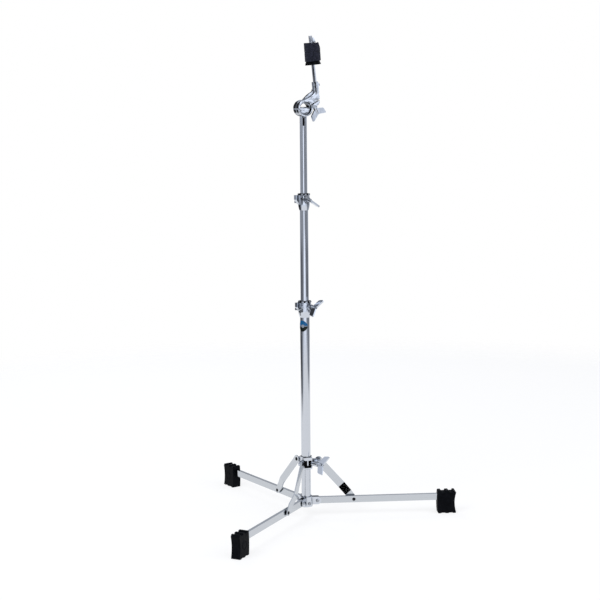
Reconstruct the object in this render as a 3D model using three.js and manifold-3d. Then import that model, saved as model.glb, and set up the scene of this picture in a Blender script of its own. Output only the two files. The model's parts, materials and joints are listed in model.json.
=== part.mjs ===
// A straight cymbal stand with a flat folding tripod base, in millimetres, +Z up.
// The floor is z = 0, and the origin is the middle of the footprint on the floor.
// Leg 0 points along +X, and the others follow at 120 degree steps.

import * as THREE from "three";
import { mergeVertices } from "three/addons/utils/BufferGeometryUtils.js";
import Module from "manifold-3d";

const wasm = await Module();
wasm.setup();

// Tubes of the pole
const lowerTubeDiameter = 25.4;
const middleTubeDiameter = 22.2;
const upperTubeDiameter = 19.05;
const slideClearance = 0.3;
const upperTubeWall = 1.4;
const lowerTubeBottom = 30;
const lowerTubeLength = 545;
const middleTubeReach = 287;
const middleTubeInsertion = 150;
const upperTubeReach = 219;
const upperTubeInsertion = 150;
const crossSlotWidth = 5;
const crossSlotLength = 18;
const crossSlotAzimuth = -86.5;

// Gaps and cuts
const gap = 0.3;
const overrun = 1.5;
const tubeSides = 32;
const discSides = 32;
const bossSides = 24;
const grooveSides = 16;
const hexSides = 6;
const curveSteps = 6;
const quarterTurn = 90;
const pinSides = 12;
const holeSides = 12;

// Hub with three pairs of ears
const legCount = 3;
const pivotHeight = 45;
const pivotRadius = 30;
const hubBottom = 29.5;
const hubTop = 57;
const hubWall = 4.4;
const earThickness = 3;
const earRoundRadius = 10.5;
const earTopShare = 0.62;
const hubPinRadius = 3.2;
const hubScrewRadius = 4;
const hubScrewHeight = 39;
const hubScrewProud = 2.2;
const hubScrewAzimuth = -64;
const hexKeyRadius = 2;
const hexKeyDepth = 1.2;
const pinHeadRadius = 4.6;
const pinHeadHeight = 1.5;
const pinHoleClearance = 0.3;

// Legs, channels open at the bottom
const legDepth = 18;
const legWidth = 9;
const legWall = 1.5;
const strutPinRadius = 130;
const strutPinShaft = 2.5;

// Struts, flat strips set over to the side of their leg
const strutWidth = 21;
const strutFootWidth = 16;
const strutThickness = 2.5;
const strutBendOffset = 14.6;
const strutTopOffset = 6.9;
const strutTopLength = 14;
const washerThickness = 2.4;
const washerRadius = 5.6;
const strutEarLength = 21.5;
const strutBendLength = 28;

// Slide collar that carries the upper ends of the struts
const lugPinRadius = 35;
const lugPinHeight = 154.5;
const slideCollarBottom = 134;
const slideCollarHeight = 35;
const slideCollarWall = 1.5;
const slideBushWall = 1;
const lugRoundRadius = 6;
const lugInnerSide = -4;
const slideBossAzimuth = -42.4;
const slideBossReach = 39;
const slideBossRadius = 6.2;
const slideBossHeight = 17;
const housingAzimuth = -78.5;
const housingWidth = 25.5;
const housingReach = 18;
const windowWidth = 19.5;
const windowHeight = 20.5;
const windowRise = 5;
const windowPostWidth = 3.2;
const windowPostGap = 5.5;

// Feet
const footLength = 50;
const footWidth = 25;
const footHeight = 63;
const footRadius = 386;
const footSocketDepth = 34;
const ridgeHeight = 4;
const soleRidgeHeight = 1.4;
const ridgeWidth = 8.5;
const ridgeBevel = 1.6;
const footWaist = 4.2;
const footBulge = 1.6;
const emblemRadius = 11.5;
const emblemGroove = 1.6;
const emblemDepth = 0.8;

// Height collars on the ends of the lower and middle tubes
const collarHeight = 44;
const collarSkirtHeight = 16;
const collarSkirtLip = 1.3;
const collarWall = 4.5;
const collarRim = 0.9;
const collarRimHeight = 3.4;
const tubeSeatHeight = 24;
const bushProud = 1;
const bushTabCount = 10;
const bushTabWidth = 4.4;
const bushTabHeight = 3.4;
const bushTabReach = 4.9;
const bushTabAzimuth = -94.4;
const slotWidth = 2.4;
const slotBottom = 5;
const collarEarReach = 26;
const collarEarThickness = 9.5;
const collarEarBottom = 16;
const collarEarLipBottom = 29;
const collarEarTop = 40.5;
const collarEarRoot = 15;
const collarLandReach = 20.5;
const collarLandThickness = 7.5;
const pinchScrewRadius = 2.6;
const pinchScrewHeight = 22.5;
const pinchScrewInset = 5;
const pinchHeadSide = 6.4;
const pinchHeadLength = 5;
const collarBossRadius = 7.7;
const collarBossHeight = 29;
const lowerBossReach = 28;
const upperBossReach = 26;
const lowerBossAzimuth = -54.5;
const upperBossAzimuth = -70.5;
const collarSlotAzimuth = -140.4;

// Wing bolts, four alike but for the length of the shank
const wingShankRadius = 3;
const wingHoleClearance = 0.35;
const wingFlangeRadius = 6.6;
const wingFlangeHeight = 2;
const wingHubRadius = 5.6;
const wingHubTipRadius = 4.4;
const wingHubHeight = 15.5;
const wingSpan = 54;
const wingReach = 28;
const wingThickness = 4.4;
const lowerWingTurn = 46;
const upperWingTurn = -39;
const slideWingTurn = 52;
const tilterWingTurn = -20;
const wingOutlineShares = [
  [-0.03, 0.13], [0.2, 0.15], [0.8, 0.4], [0.9, 0.46], [0.94, 0.54],
  [1, 0.9], [0.98, 0.98], [0.9, 1], [0.18, 0.74], [-0.03, 0.7],
];

// Tilter head on the upper tube
const tiltRise = 25;
const tilterAzimuth = 20.65;
const drumRadius = 21.6;
const drumBackReach = 16.5;
const drumFrontReach = 2.2;
const spigotRadius = 17;
const spigotReach = 10.5;
const drumBoreRadius = 13.4;
const drumFlareRadius = 17.5;
const drumFlareDepth = 7.5;
const drumFrontChamfer = 1.8;
const saddleRise = 3.4;
const saddleRadius = 30;
const stubLength = 26;
const drumGrooveWidth = 2;
const drumGrooveDepth = 0.9;
const drumGrooveSetback = 5.5;

// Tilter arm: a split ring, a neck and the socket of the rod
const ringBack = 2.5;
const ringFront = 16.5;
const armMiddle = 9.5;
const rodLean = 6;
const rodOffset = 37.2;
const slitAngle = 28;
const slitWidth = 3.2;
const slitReach = 48;
const clampBoltRadius = 27;
const clampBossRadius = 7;
const clampBossReach = 12.8;
const clampHoleDepth = 14;
const armScale = 44;
const armBevel = 1.1;
const frontPlateBack = 8;
const backPlateFront = 11;
const frontPlateShares = [
  [-0.12, 0.46], [0.1, 0.56], [0.31, 0.66], [0.52, 0.81], [0.67, 0.98], [0.76, 1.17], [0.78, 1.36],
  [0.76, 1.54], [0.84, 1.55], [0.89, 1.36], [0.88, 0.87], [0.93, 0.7], [0.935, 0.33], [0.87, 0.21],
  [0.66, 0.06], [0.42, -0.12], [0, 0],
];
const backPlateShares = [
  [-0.2, 0.42], [-0.04, 0.56], [0.16, 0.755], [0.31, 0.865], [0.46, 0.95], [0.53, 1.02], [0.55, 1.12],
  [0.86, 1.12], [0.86, 0.87], [0.9, 0.7], [0.9, 0.33], [0.84, 0.21], [0.64, 0.06], [0.41, -0.11], [0, 0],
];
const socketRadius = 8.8;
const socketBottom = 40;
const socketTop = 68.5;
const socketFloor = 43;
const socketBevel = 1.2;
const recessLength = 15;
const recessWidth = 5;
const recessDepth = 6;
const recessAngle = 33;
const recessAcross = 13;
const recessUp = 37;

// Cymbal rod and what sits on it
const rodRadius = 4.75;
const rodTop = 188.2;
const threadPitch = 2.5;
const threadDepth = 0.55;
const threadStart = 168;
const rodTipBevel = 1;
const seatBottom = 113.2;
const seatHeight = 9;
const seatTopRadius = 18.2;
const seatBottomRadius = 21.2;
const seatSkirtThickness = 2;
const seatHubRadius = 9.5;
const sleeveWall = 1.3;
const sleeveFlangeRadius = 10;
const sleeveFlangeHeight = 1.2;
const feltRadius = 21.2;
const feltHeight = 22.8;
const feltCrown = 0.5;
const nutRadius = 8;
const nutHeight = 6.5;
const tabHeight = 13.5;
const tabFootWidth = 8.4;
const tabTipWidth = 3.4;
const tabThickness = 1.8;
const rodScrewRadius = 2.6;
const rodScrewHeight = 60;
const rodScrewProud = 3;

// Round label on the lower tube
const labelDiameter = 30;
const labelDrop = 47;
const labelThickness = 0.4;
const labelAzimuth = -125;
const labelChordShare = 0.93;

// Finishes
const chrome = new THREE.MeshStandardMaterial({ color: 0xc9d0da, roughness: 0.08, metalness: 1 });
const castChrome = new THREE.MeshStandardMaterial({ color: 0xc4cad4, roughness: 0.14, metalness: 1 });
const steel = new THREE.MeshStandardMaterial({ color: 0x9aa0a8, roughness: 0.25, metalness: 1 });
const nylon = new THREE.MeshStandardMaterial({ color: 0x16171a, roughness: 0.5, metalness: 0 });
const rubber = new THREE.MeshStandardMaterial({ color: 0x141519, roughness: 0.8, metalness: 0 });
const felt = new THREE.MeshStandardMaterial({ color: 0x23242c, roughness: 1, metalness: 0 });
const vinyl = new THREE.MeshStandardMaterial({ color: 0x1d62a8, roughness: 0.4, metalness: 0 });

// Values that follow from the sizes above
const lowerTubeRadius = lowerTubeDiameter / 2;
const middleTubeRadius = middleTubeDiameter / 2;
const upperTubeRadius = upperTubeDiameter / 2;
const lowerTubeTop = lowerTubeBottom + lowerTubeLength;
const lowerCollarBottom = lowerTubeTop - tubeSeatHeight;
const middleTubeTop = lowerTubeTop + middleTubeReach;
const upperCollarBottom = middleTubeTop - tubeSeatHeight;
const upperTubeTop = middleTubeTop + upperTubeReach;
const tiltHeight = upperTubeTop + tiltRise;
const labelHeight = lowerTubeTop - labelDrop;
const footOuterRadius = footRadius + footLength / 2;
const legRadius = footRadius - footLength / 2 + footSocketDepth - gap;
const legStep = 360 / legCount;

function radians(degrees) {
  return (degrees * Math.PI) / 180;
}

// The pole stands off the middle of the footprint, because one leg points along +X.
const backCornerX =
  footOuterRadius * Math.cos(radians(legStep)) - (footWidth / 2) * Math.sin(radians(legStep));
const poleX = -(footOuterRadius + backCornerX) / 2;

// Turns a mesh inside out when its faces point inwards.
function outward(geometry) {
  const flat = geometry.index ? geometry : mergeVertices(geometry);
  const position = flat.attributes.position;
  const corner = [0, 1, 2].map(() => new THREE.Vector3());
  let volume = 0;
  for (let i = 0; i < flat.index.count; i += 3) {
    corner.forEach((point, k) => point.fromBufferAttribute(position, flat.index.getX(i + k)));
    volume += corner[0].dot(corner[1].clone().cross(corner[2]));
  }
  if (volume < 0) {
    for (let i = 0; i < flat.index.count; i += 3) {
      const first = flat.index.getX(i);
      flat.index.setX(i, flat.index.getX(i + 1));
      flat.index.setX(i + 1, first);
    }
  }
  return flat;
}

function bare(geometry) {
  const copy = geometry.clone();
  copy.deleteAttribute("normal");
  copy.deleteAttribute("uv");
  return outward(mergeVertices(copy));
}

function solid(geometry) {
  const clean = bare(geometry);
  return new wasm.Manifold(new wasm.Mesh({
    numProp: 3,
    vertProperties: new Float32Array(clean.attributes.position.array),
    triVerts: new Uint32Array(clean.index.array),
  }));
}

function geometryOf(manifold) {
  const mesh = manifold.getMesh();
  const geometry = new THREE.BufferGeometry();
  geometry.setAttribute("position", new THREE.BufferAttribute(new Float32Array(mesh.vertProperties), 3));
  geometry.setIndex(new THREE.BufferAttribute(new Uint32Array(mesh.triVerts), 1));
  return geometry;
}

// Joins the first list of shapes, and cuts the second list from them.
function carve(bodies, cuts = []) {
  let result = solid(bodies[0]);
  bodies.slice(1).forEach((body) => { result = result.add(solid(body)); });
  cuts.forEach((cut) => { result = result.subtract(solid(cut)); });
  return geometryOf(result);
}

// A solid of revolution about Z, from [radius, height] points.
function turned(points, sides) {
  const profile = points.map(([radius, height]) => new THREE.Vector2(radius, height));
  const geometry = new THREE.LatheGeometry([...profile, profile[0]], sides);
  return bare(geometry.rotateX(Math.PI / 2));
}

function rod(radius, bottom, top, sides = pinSides) {
  return new THREE.CylinderGeometry(radius, radius, top - bottom, sides)
    .rotateX(Math.PI / 2)
    .translate(0, 0, (top + bottom) / 2);
}

function tube(outer, inner, bottom, top, sides = tubeSides) {
  return turned([[inner, bottom], [outer, bottom], [outer, top], [inner, top]], sides);
}

function block(fromX, toX, fromY, toY, fromZ, toZ) {
  return new THREE.BoxGeometry(toX - fromX, toY - fromY, toZ - fromZ)
    .translate((fromX + toX) / 2, (fromY + toY) / 2, (fromZ + toZ) / 2);
}

// An outline in the XZ plane, given thickness along Y from fromY to toY.
function plate(shape, fromY, toY) {
  const settings = { depth: toY - fromY, bevelEnabled: false, curveSegments: curveSteps };
  return new THREE.ExtrudeGeometry(shape, settings)
    .rotateX(Math.PI / 2)
    .translate(0, toY, 0);
}

// The same plate with a chamfer all round both of its faces.
function chamferedPlate(shape, fromY, toY, chamfer) {
  return new THREE.ExtrudeGeometry(shape, {
    depth: toY - fromY - chamfer * 2,
    bevelEnabled: true,
    bevelSegments: 1,
    bevelThickness: chamfer,
    bevelSize: chamfer,
    bevelOffset: -chamfer,
  })
    .rotateX(Math.PI / 2)
    .translate(0, toY - chamfer, 0);
}

// An outline from shares of two lengths.
function shared(shares, acrossLength, upLength) {
  return outline(shares.map(([across, up]) => [across * acrossLength, up * upLength]));
}

function outline(points) {
  return new THREE.Shape(points.map(([x, y]) => new THREE.Vector2(x, y)));
}

// A round-ended bar outline between two points of the same radius.
function barOutline(fromX, toX, radius) {
  const shape = new THREE.Shape();
  shape.moveTo(fromX, -radius);
  shape.lineTo(toX, -radius);
  shape.absarc(toX, 0, radius, -Math.PI / 2, Math.PI / 2, false);
  shape.lineTo(fromX, radius);
  shape.absarc(fromX, 0, radius, Math.PI / 2, (3 * Math.PI) / 2, false);
  return shape;
}

// Lays a shape that runs along +Z down, so that it runs along +X at this height.
function laid(geometry, height) {
  return geometry.clone().rotateY(Math.PI / 2).translate(0, 0, height);
}

function spun(geometry, degrees) {
  return geometry.clone().rotateZ(radians(degrees));
}

function piece(name, geometry, material) {
  const mesh = new THREE.Mesh(bare(geometry), material);
  mesh.name = name;
  return mesh;
}

function group(...children) {
  const result = new THREE.Group();
  children.forEach((child) => result.add(child));
  return result;
}

// Wing bolts

function wingBlade(side) {
  const half = wingThickness / 2;
  const blade = plate(shared(wingOutlineShares, wingSpan / 2, wingReach), -half, half);
  return side > 0 ? blade : blade.rotateZ(Math.PI);
}

// The bolt points along +Z, with its flange's face at z = 0 and the shank below it.
function wingBolt(shankLength) {
  const body = turned([
    [0, -shankLength],
    [wingShankRadius, -shankLength],
    [wingShankRadius, 0],
    [wingFlangeRadius, 0],
    [wingFlangeRadius, wingFlangeHeight],
    [wingHubRadius, wingFlangeHeight],
    [wingHubTipRadius, wingHubHeight],
    [0, wingHubHeight],
  ], pinSides);
  return carve([body, wingBlade(1), wingBlade(-1)]);
}

// Places a wing bolt so that it points outwards at this azimuth, height and distance.
function wingAt(name, shankLength, azimuth, height, distance, turn) {
  const bolt = piece(name, wingBolt(shankLength), castChrome);
  bolt.rotation.set(0, Math.PI / 2, 0);
  const holder = group(bolt);
  holder.position.x = distance;
  holder.rotation.x = radians(turn + quarterTurn);
  const arm = group(holder);
  arm.position.z = height;
  arm.rotation.z = radians(azimuth);
  return arm;
}

// Pins and screws

function headedPin(shaftRadius, headRadius, headHeight, from, to) {
  return turned([
    [0, from - headHeight],
    [headRadius * earTopShare, from - headHeight],
    [headRadius, from - headHeight / 2],
    [headRadius, from],
    [shaftRadius, from],
    [shaftRadius, to],
    [headRadius, to],
    [headRadius, to + headHeight / 2],
    [headRadius * earTopShare, to + headHeight],
    [0, to + headHeight],
  ], pinSides);
}

// Turns a shape that runs along Z so that it runs along Y, low end at low y.
function crosswise(geometry, x, z) {
  return geometry.clone().rotateX(-Math.PI / 2).translate(x, 0, z);
}

// Hub

function hubGeometry() {
  const bore = lowerTubeRadius + gap;
  const radius = bore + hubWall;
  const earInner = legWidth / 2 + gap;
  const bodies = [rod(radius, hubBottom, hubTop, tubeSides)];
  const holeRadius = hubPinRadius + pinHoleClearance;
  const cuts = [rod(bore, lowerTubeBottom - gap, hubTop + overrun, tubeSides)];
  const earSide = new THREE.Shape();
  const earBottom = -earRoundRadius;
  const earTop = earRoundRadius;
  earSide.moveTo(bore + overrun, earBottom);
  earSide.lineTo(pivotRadius, earBottom);
  earSide.absarc(pivotRadius, 0, earRoundRadius, -Math.PI / 2, Math.PI / 2, false);
  earSide.lineTo(bore + overrun, earTop);
  for (let leg = 0; leg < legCount; leg += 1) {
    const azimuth = leg * legStep;
    [-1, 1].forEach((side) => {
      const near = side > 0 ? earInner : -earInner - earThickness;
      const ear = plate(earSide, near, near + earThickness).translate(0, 0, pivotHeight);
      bodies.push(spun(ear, azimuth));
    });
    const reach = earInner + earThickness + overrun;
    const hole = crosswise(rod(holeRadius, -reach, reach, holeSides), pivotRadius, pivotHeight);
    cuts.push(spun(hole, azimuth));
  }
  const screwHole = rod(hubScrewRadius * earTopShare + gap, 0, radius + overrun, holeSides);
  cuts.push(spun(laid(screwHole, hubScrewHeight), hubScrewAzimuth));
  return carve(bodies, cuts);
}

function hubScrewGeometry() {
  const bore = lowerTubeRadius + gap;
  const face = bore + hubWall;
  const shaft = hubScrewRadius * earTopShare;
  const screw = turned([
    [0, bore],
    [shaft, bore],
    [shaft, face + gap],
    [hubScrewRadius, face + gap],
    [hubScrewRadius, face + hubScrewProud],
    [0, face + hubScrewProud],
  ], pinSides);
  const key = rod(hexKeyRadius, face + hubScrewProud - hexKeyDepth, face + hubScrewProud + overrun,
    hexSides);
  return spun(laid(carve([screw], [key]), hubScrewHeight), hubScrewAzimuth);
}

function hubPinGeometry() {
  const side = legWidth / 2 + gap + earThickness + gap;
  const pin = headedPin(hubPinRadius, pinHeadRadius, pinHeadHeight, -side, side);
  return crosswise(pin, pivotRadius, pivotHeight);
}

// Legs

function legGeometry() {
  const half = legDepth / 2;
  const side = new THREE.Shape();
  side.moveTo(legRadius, -half);
  side.lineTo(legRadius, half);
  side.lineTo(pivotRadius, half);
  side.absarc(pivotRadius, 0, half, Math.PI / 2, (3 * Math.PI) / 2, false);
  const bar = plate(side, -legWidth / 2, legWidth / 2).translate(0, 0, pivotHeight);
  const inside = legWidth / 2 - legWall;
  const channel = block(pivotRadius - legDepth, legRadius + overrun, -inside, inside,
    pivotHeight - half - overrun, pivotHeight + half - legWall);
  const pivotHole = crosswise(
    rod(hubPinRadius + pinHoleClearance, -legWidth, legWidth, holeSides), pivotRadius, pivotHeight);
  const strutHole = crosswise(
    rod(strutPinShaft + pinHoleClearance, -legWidth, legWidth, holeSides), strutPinRadius, pivotHeight);
  return carve([bar], [channel, pivotHole, strutHole]);
}

// Where the struts lie across their leg, measured sideways from its middle
const strutFootNear = legWidth / 2 + gap + washerThickness + gap;
const strutFootMiddle = strutFootNear + strutThickness / 2;
const strutTopNear = strutTopOffset - strutThickness / 2;
const strutRun = Math.hypot(strutPinRadius - lugPinRadius, lugPinHeight - pivotHeight);
const strutSlope = Math.atan2(lugPinHeight - pivotHeight, lugPinRadius - strutPinRadius);

function strutPinGeometry() {
  const near = -legWidth / 2 - gap;
  const far = strutFootNear + strutThickness + gap;
  return crosswise(
    headedPin(strutPinShaft, pinHeadRadius, pinHeadHeight, near, far), strutPinRadius, pivotHeight);
}

function washerGeometry() {
  const near = legWidth / 2 + gap;
  const inner = strutPinShaft + pinHoleClearance;
  const washer = tube(washerRadius, inner, near, near + washerThickness, pinSides);
  return crosswise(washer, strutPinRadius, pivotHeight);
}

// The strip runs along +X from its lower pin at the origin, and is set over along +Y.
function strutGeometry() {
  const half = strutThickness / 2;
  const bendEnd = strutEarLength + strutBendLength;
  const topBegin = strutRun - strutTopLength;
  const round = strutWidth / 2;
  const footRound = strutFootWidth / 2;
  const strip = outline([
    [-round - overrun, strutFootMiddle - half],
    [strutEarLength, strutFootMiddle - half],
    [bendEnd, strutBendOffset - half],
    [topBegin, strutTopOffset - half],
    [strutRun + round + overrun, strutTopOffset - half],
    [strutRun + round + overrun, strutTopOffset + half],
    [topBegin, strutTopOffset + half],
    [bendEnd, strutBendOffset + half],
    [strutEarLength, strutFootMiddle + half],
    [-round - overrun, strutFootMiddle + half],
  ]);
  const bent = new THREE.ExtrudeGeometry(strip, { depth: strutWidth, bevelEnabled: false })
    .translate(0, 0, -strutWidth / 2);
  const sideReach = strutBendOffset + strutWidth;
  const outlineShape = new THREE.Shape();
  outlineShape.moveTo(0, -footRound);
  outlineShape.lineTo(strutEarLength, -round);
  outlineShape.lineTo(strutRun, -round);
  outlineShape.absarc(strutRun, 0, round, -Math.PI / 2, Math.PI / 2, false);
  outlineShape.lineTo(strutEarLength, round);
  outlineShape.lineTo(0, footRound);
  outlineShape.absarc(0, 0, footRound, Math.PI / 2, (3 * Math.PI) / 2, false);
  const face = plate(outlineShape, -sideReach, sideReach);
  const hole = rod(strutPinShaft + pinHoleClearance, -sideReach, sideReach, holeSides);
  const footHole = crosswise(hole, 0, 0);
  const topHole = crosswise(hole, strutRun, 0);
  const result = solid(bent).intersect(solid(face)).subtract(solid(footHole)).subtract(solid(topHole));
  return geometryOf(result)
    .rotateY(-strutSlope)
    .translate(strutPinRadius, 0, pivotHeight);
}

// The strut's upper pin is headed on the outside and ends short of the lug.
function lugPinGeometry() {
  const outside = strutTopOffset + strutThickness / 2 + gap;
  const pin = turned([
    [0, strutTopNear],
    [strutPinShaft, strutTopNear],
    [strutPinShaft, outside],
    [pinHeadRadius, outside],
    [pinHeadRadius, outside + pinHeadHeight / 2],
    [pinHeadRadius * earTopShare, outside + pinHeadHeight],
    [0, outside + pinHeadHeight],
  ], pinSides);
  return crosswise(pin, lugPinRadius, lugPinHeight);
}

// Feet

function footGeometry() {
  const half = footLength / 2;
  const topValley = footHeight - ridgeHeight;
  const middle = footHeight / 2;
  const middleFrom = -ridgeWidth / 2;
  const middleTo = ridgeWidth / 2;
  const side = new THREE.Shape();
  side.moveTo(-half + ridgeBevel, 0);
  side.lineTo(-half + ridgeWidth, 0);
  side.lineTo(-half + ridgeWidth + ridgeBevel, soleRidgeHeight);
  side.lineTo(middleFrom - ridgeBevel, soleRidgeHeight);
  side.lineTo(middleFrom, 0);
  side.lineTo(middleTo, 0);
  side.lineTo(middleTo + ridgeBevel, soleRidgeHeight);
  side.lineTo(half - ridgeWidth - ridgeBevel, soleRidgeHeight);
  side.lineTo(half - ridgeWidth, 0);
  side.lineTo(half - ridgeBevel, 0);
  side.lineTo(half, ridgeBevel);
  side.quadraticCurveTo(half - footWaist * 2, middle, half, topValley - ridgeBevel);
  side.lineTo(half - ridgeBevel * 2, footHeight);
  side.lineTo(half - ridgeWidth, footHeight);
  side.lineTo(half - ridgeWidth - ridgeBevel, topValley);
  side.lineTo(middleTo + ridgeBevel, topValley);
  side.lineTo(middleTo, footHeight);
  side.lineTo(middleFrom, footHeight);
  side.lineTo(middleFrom - ridgeBevel, topValley);
  side.lineTo(-half + ridgeWidth + ridgeBevel, topValley);
  side.lineTo(-half + ridgeWidth, footHeight);
  side.lineTo(-half + ridgeBevel, footHeight);
  side.lineTo(-half, footHeight - ridgeBevel);
  side.quadraticCurveTo(-half - footBulge * 2, middle, -half, ridgeBevel);
  const body = plate(side, -footWidth / 2, footWidth / 2);
  const socket = block(
    -half - footBulge - overrun, -half + footSocketDepth,
    -legWidth / 2 - gap, legWidth / 2 + gap,
    pivotHeight - legDepth / 2 - gap, pivotHeight + legDepth / 2 + gap);
  const grooves = [-1, 1].map((side) => {
    const near = side > 0 ? footWidth / 2 - emblemDepth : -footWidth / 2 - overrun;
    const groove = tube(emblemRadius, emblemRadius - emblemGroove, near, near + emblemDepth + overrun,
      grooveSides);
    return crosswise(groove, 0, footHeight / 2);
  });
  return carve([body], [socket, ...grooves]).translate(footRadius, 0, 0);
}

// Slide collar

const slideBushInner = lowerTubeRadius + gap;
const slideBushOuter = slideBushInner + slideBushWall;
const slideBore = slideBushOuter + gap;
const slideOuter = slideBore + slideCollarWall;
const slideTop = slideCollarBottom + slideCollarHeight;

function slideCollarGeometry() {
  const bodies = [rod(slideOuter, slideCollarBottom, slideTop, tubeSides)];
  const lugFar = strutTopNear - gap;
  const lugSide = new THREE.Shape();
  lugSide.moveTo(0, -lugRoundRadius);
  lugSide.lineTo(lugPinRadius, -lugRoundRadius);
  lugSide.absarc(lugPinRadius, 0, lugRoundRadius, -Math.PI / 2, Math.PI / 2, false);
  lugSide.lineTo(0, lugRoundRadius);
  for (let leg = 0; leg < legCount; leg += 1) {
    const lug = plate(lugSide, lugInnerSide, lugFar).translate(0, 0, lugPinHeight);
    bodies.push(spun(lug, leg * legStep));
  }
  const bossHeight = slideCollarBottom + slideBossHeight;
  bodies.push(spun(laid(rod(slideBossRadius, 0, slideBossReach), bossHeight), slideBossAzimuth));
  const housing = block(0, housingReach, -housingWidth / 2, housingWidth / 2,
    slideCollarBottom + overrun, slideTop - overrun);
  bodies.push(spun(housing, housingAzimuth));
  const windowFloor = slideCollarBottom + windowRise;
  const cuts = [
    rod(slideBore, slideCollarBottom - overrun, slideTop + overrun, tubeSides),
    spun(laid(rod(wingShankRadius + wingHoleClearance, 0, slideBossReach + overrun, holeSides), bossHeight),
      slideBossAzimuth),
    spun(block(0, housingReach + overrun, -windowWidth / 2, windowWidth / 2, windowFloor,
      windowFloor + windowPostGap + overrun), housingAzimuth),
  ];
  [-1, 1].forEach((side) => {
    const near = side > 0 ? windowPostWidth / 2 : -windowWidth / 2;
    const far = side > 0 ? windowWidth / 2 : -windowPostWidth / 2;
    const opening = block(0, housingReach + overrun, near, far, windowFloor + windowPostGap,
      windowFloor + windowHeight);
    cuts.push(spun(opening, housingAzimuth));
  });
  return carve(bodies, cuts);
}

// Height collars

function collarGeometry(tubeRadius, bossReach, bossAzimuth) {
  const bore = tubeRadius + gap;
  const outer = tubeRadius + collarWall;
  const rim = outer + collarRim;
  const shell = turned([
    [0, 0],
    [tubeRadius + collarSkirtLip, 0],
    [outer - collarSkirtLip / 2, collarSkirtHeight * earTopShare],
    [outer, collarSkirtHeight],
    [outer, collarHeight - collarRimHeight - collarRim],
    [rim, collarHeight - collarRimHeight],
    [rim, collarHeight - collarRim],
    [outer, collarHeight],
    [0, collarHeight],
  ], tubeSides);
  const earOutline = outline([
    [0, collarEarBottom],
    [collarEarRoot, collarEarBottom],
    [collarEarReach, collarEarLipBottom],
    [collarEarReach, collarEarTop],
    [0, collarEarTop],
  ]);
  const ear = plate(earOutline, -slotWidth / 2 - collarEarThickness, -slotWidth / 2);
  const landFace = slotWidth / 2;
  const land = block(
    0, collarLandReach, landFace, landFace + collarLandThickness, collarEarBottom, collarEarTop);
  const boss = laid(rod(collarBossRadius, 0, bossReach, bossSides), collarBossHeight);
  const slotSides = [ear, land].map((side) => spun(side, collarSlotAzimuth));
  const bodies = [shell, ...slotSides, spun(boss, bossAzimuth)];
  const screwReach = collarEarThickness + slotWidth + overrun;
  const screwX = bore + pinchScrewInset;
  const cuts = [
    rod(bore, -overrun, collarHeight + overrun, tubeSides),
    spun(block(
      0, collarEarReach + overrun, -slotWidth / 2, slotWidth / 2, slotBottom, collarHeight + overrun),
    collarSlotAzimuth),
    spun(laid(rod(wingShankRadius + wingHoleClearance, 0, bossReach + overrun, holeSides), collarBossHeight),
      bossAzimuth),
    spun(crosswise(rod(pinchScrewRadius + gap, -screwReach, screwReach, holeSides),
      screwX, pinchScrewHeight), collarSlotAzimuth),
  ];
  for (let tab = 0; tab < bushTabCount; tab += 1) {
    const notch = block(0, outer + collarRim + overrun, -bushTabWidth / 2 - gap, bushTabWidth / 2 + gap,
      collarHeight - bushTabHeight - gap, collarHeight + overrun);
    cuts.push(spun(notch, bushTabAzimuth + (tab * 360) / bushTabCount));
  }
  return carve(bodies, cuts);
}

function bushGeometry(tubeRadius, slidingRadius) {
  const bottom = tubeSeatHeight + gap;
  const top = collarHeight + bushProud;
  const bodies = [rod(tubeRadius, bottom, top, tubeSides)];
  for (let tab = 0; tab < bushTabCount; tab += 1) {
    const key = block(0, tubeRadius + bushTabReach, -bushTabWidth / 2, bushTabWidth / 2,
      collarHeight - bushTabHeight, collarHeight);
    bodies.push(spun(key, bushTabAzimuth + (tab * 360) / bushTabCount));
  }
  return carve(bodies, [rod(slidingRadius + slideClearance, bottom - overrun, top + overrun, tubeSides)]);
}

function pinchScrewGeometry(tubeRadius) {
  const face = slotWidth / 2 + collarEarThickness + gap;
  const end = slotWidth / 2 + collarLandThickness;
  const shaft = rod(pinchScrewRadius, -face - pinchHeadLength / 2, end);
  const half = pinchHeadSide / 2;
  const head = block(-half, half, -half, half, -face - pinchHeadLength, -face);
  const screw = carve([shaft, head]);
  return spun(crosswise(screw, tubeRadius + gap + pinchScrewInset, pinchScrewHeight), collarSlotAzimuth);
}

// Collar, bushing, screw and wing bolt on the end of a tube, built from the collar's lower edge
function heightCollar(title, tubeRadius, slidingRadius, bossReach, bossAzimuth, turn) {
  const shank = bossReach + gap - tubeRadius - gap;
  return group(
    piece(`${title}_collar`, collarGeometry(tubeRadius, bossReach, bossAzimuth), castChrome),
    piece(`${title}_bushing`, bushGeometry(tubeRadius, slidingRadius), nylon),
    piece(`${title}_pinch_screw`, pinchScrewGeometry(tubeRadius), steel),
    wingAt(`${title}_wing_bolt`, shank, bossAzimuth, collarBossHeight, bossReach + gap, turn),
  );
}

// The room of the cross slot, from the pole's axis out through the upper tube's wall
function crossSlotGeometry() {
  const slotRound = crossSlotWidth / 2;
  const room = plate(barOutline(0, crossSlotLength, slotRound), 0, upperTubeDiameter)
    .rotateY(Math.PI / 2)
    .translate(0, 0, upperTubeTop - slotRound + overrun);
  return spun(room, crossSlotAzimuth - quarterTurn);
}

// Tilter head: drum, spigot and stub, built about the tilt axis along Y.
// The cross slot runs on into the stub.

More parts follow.
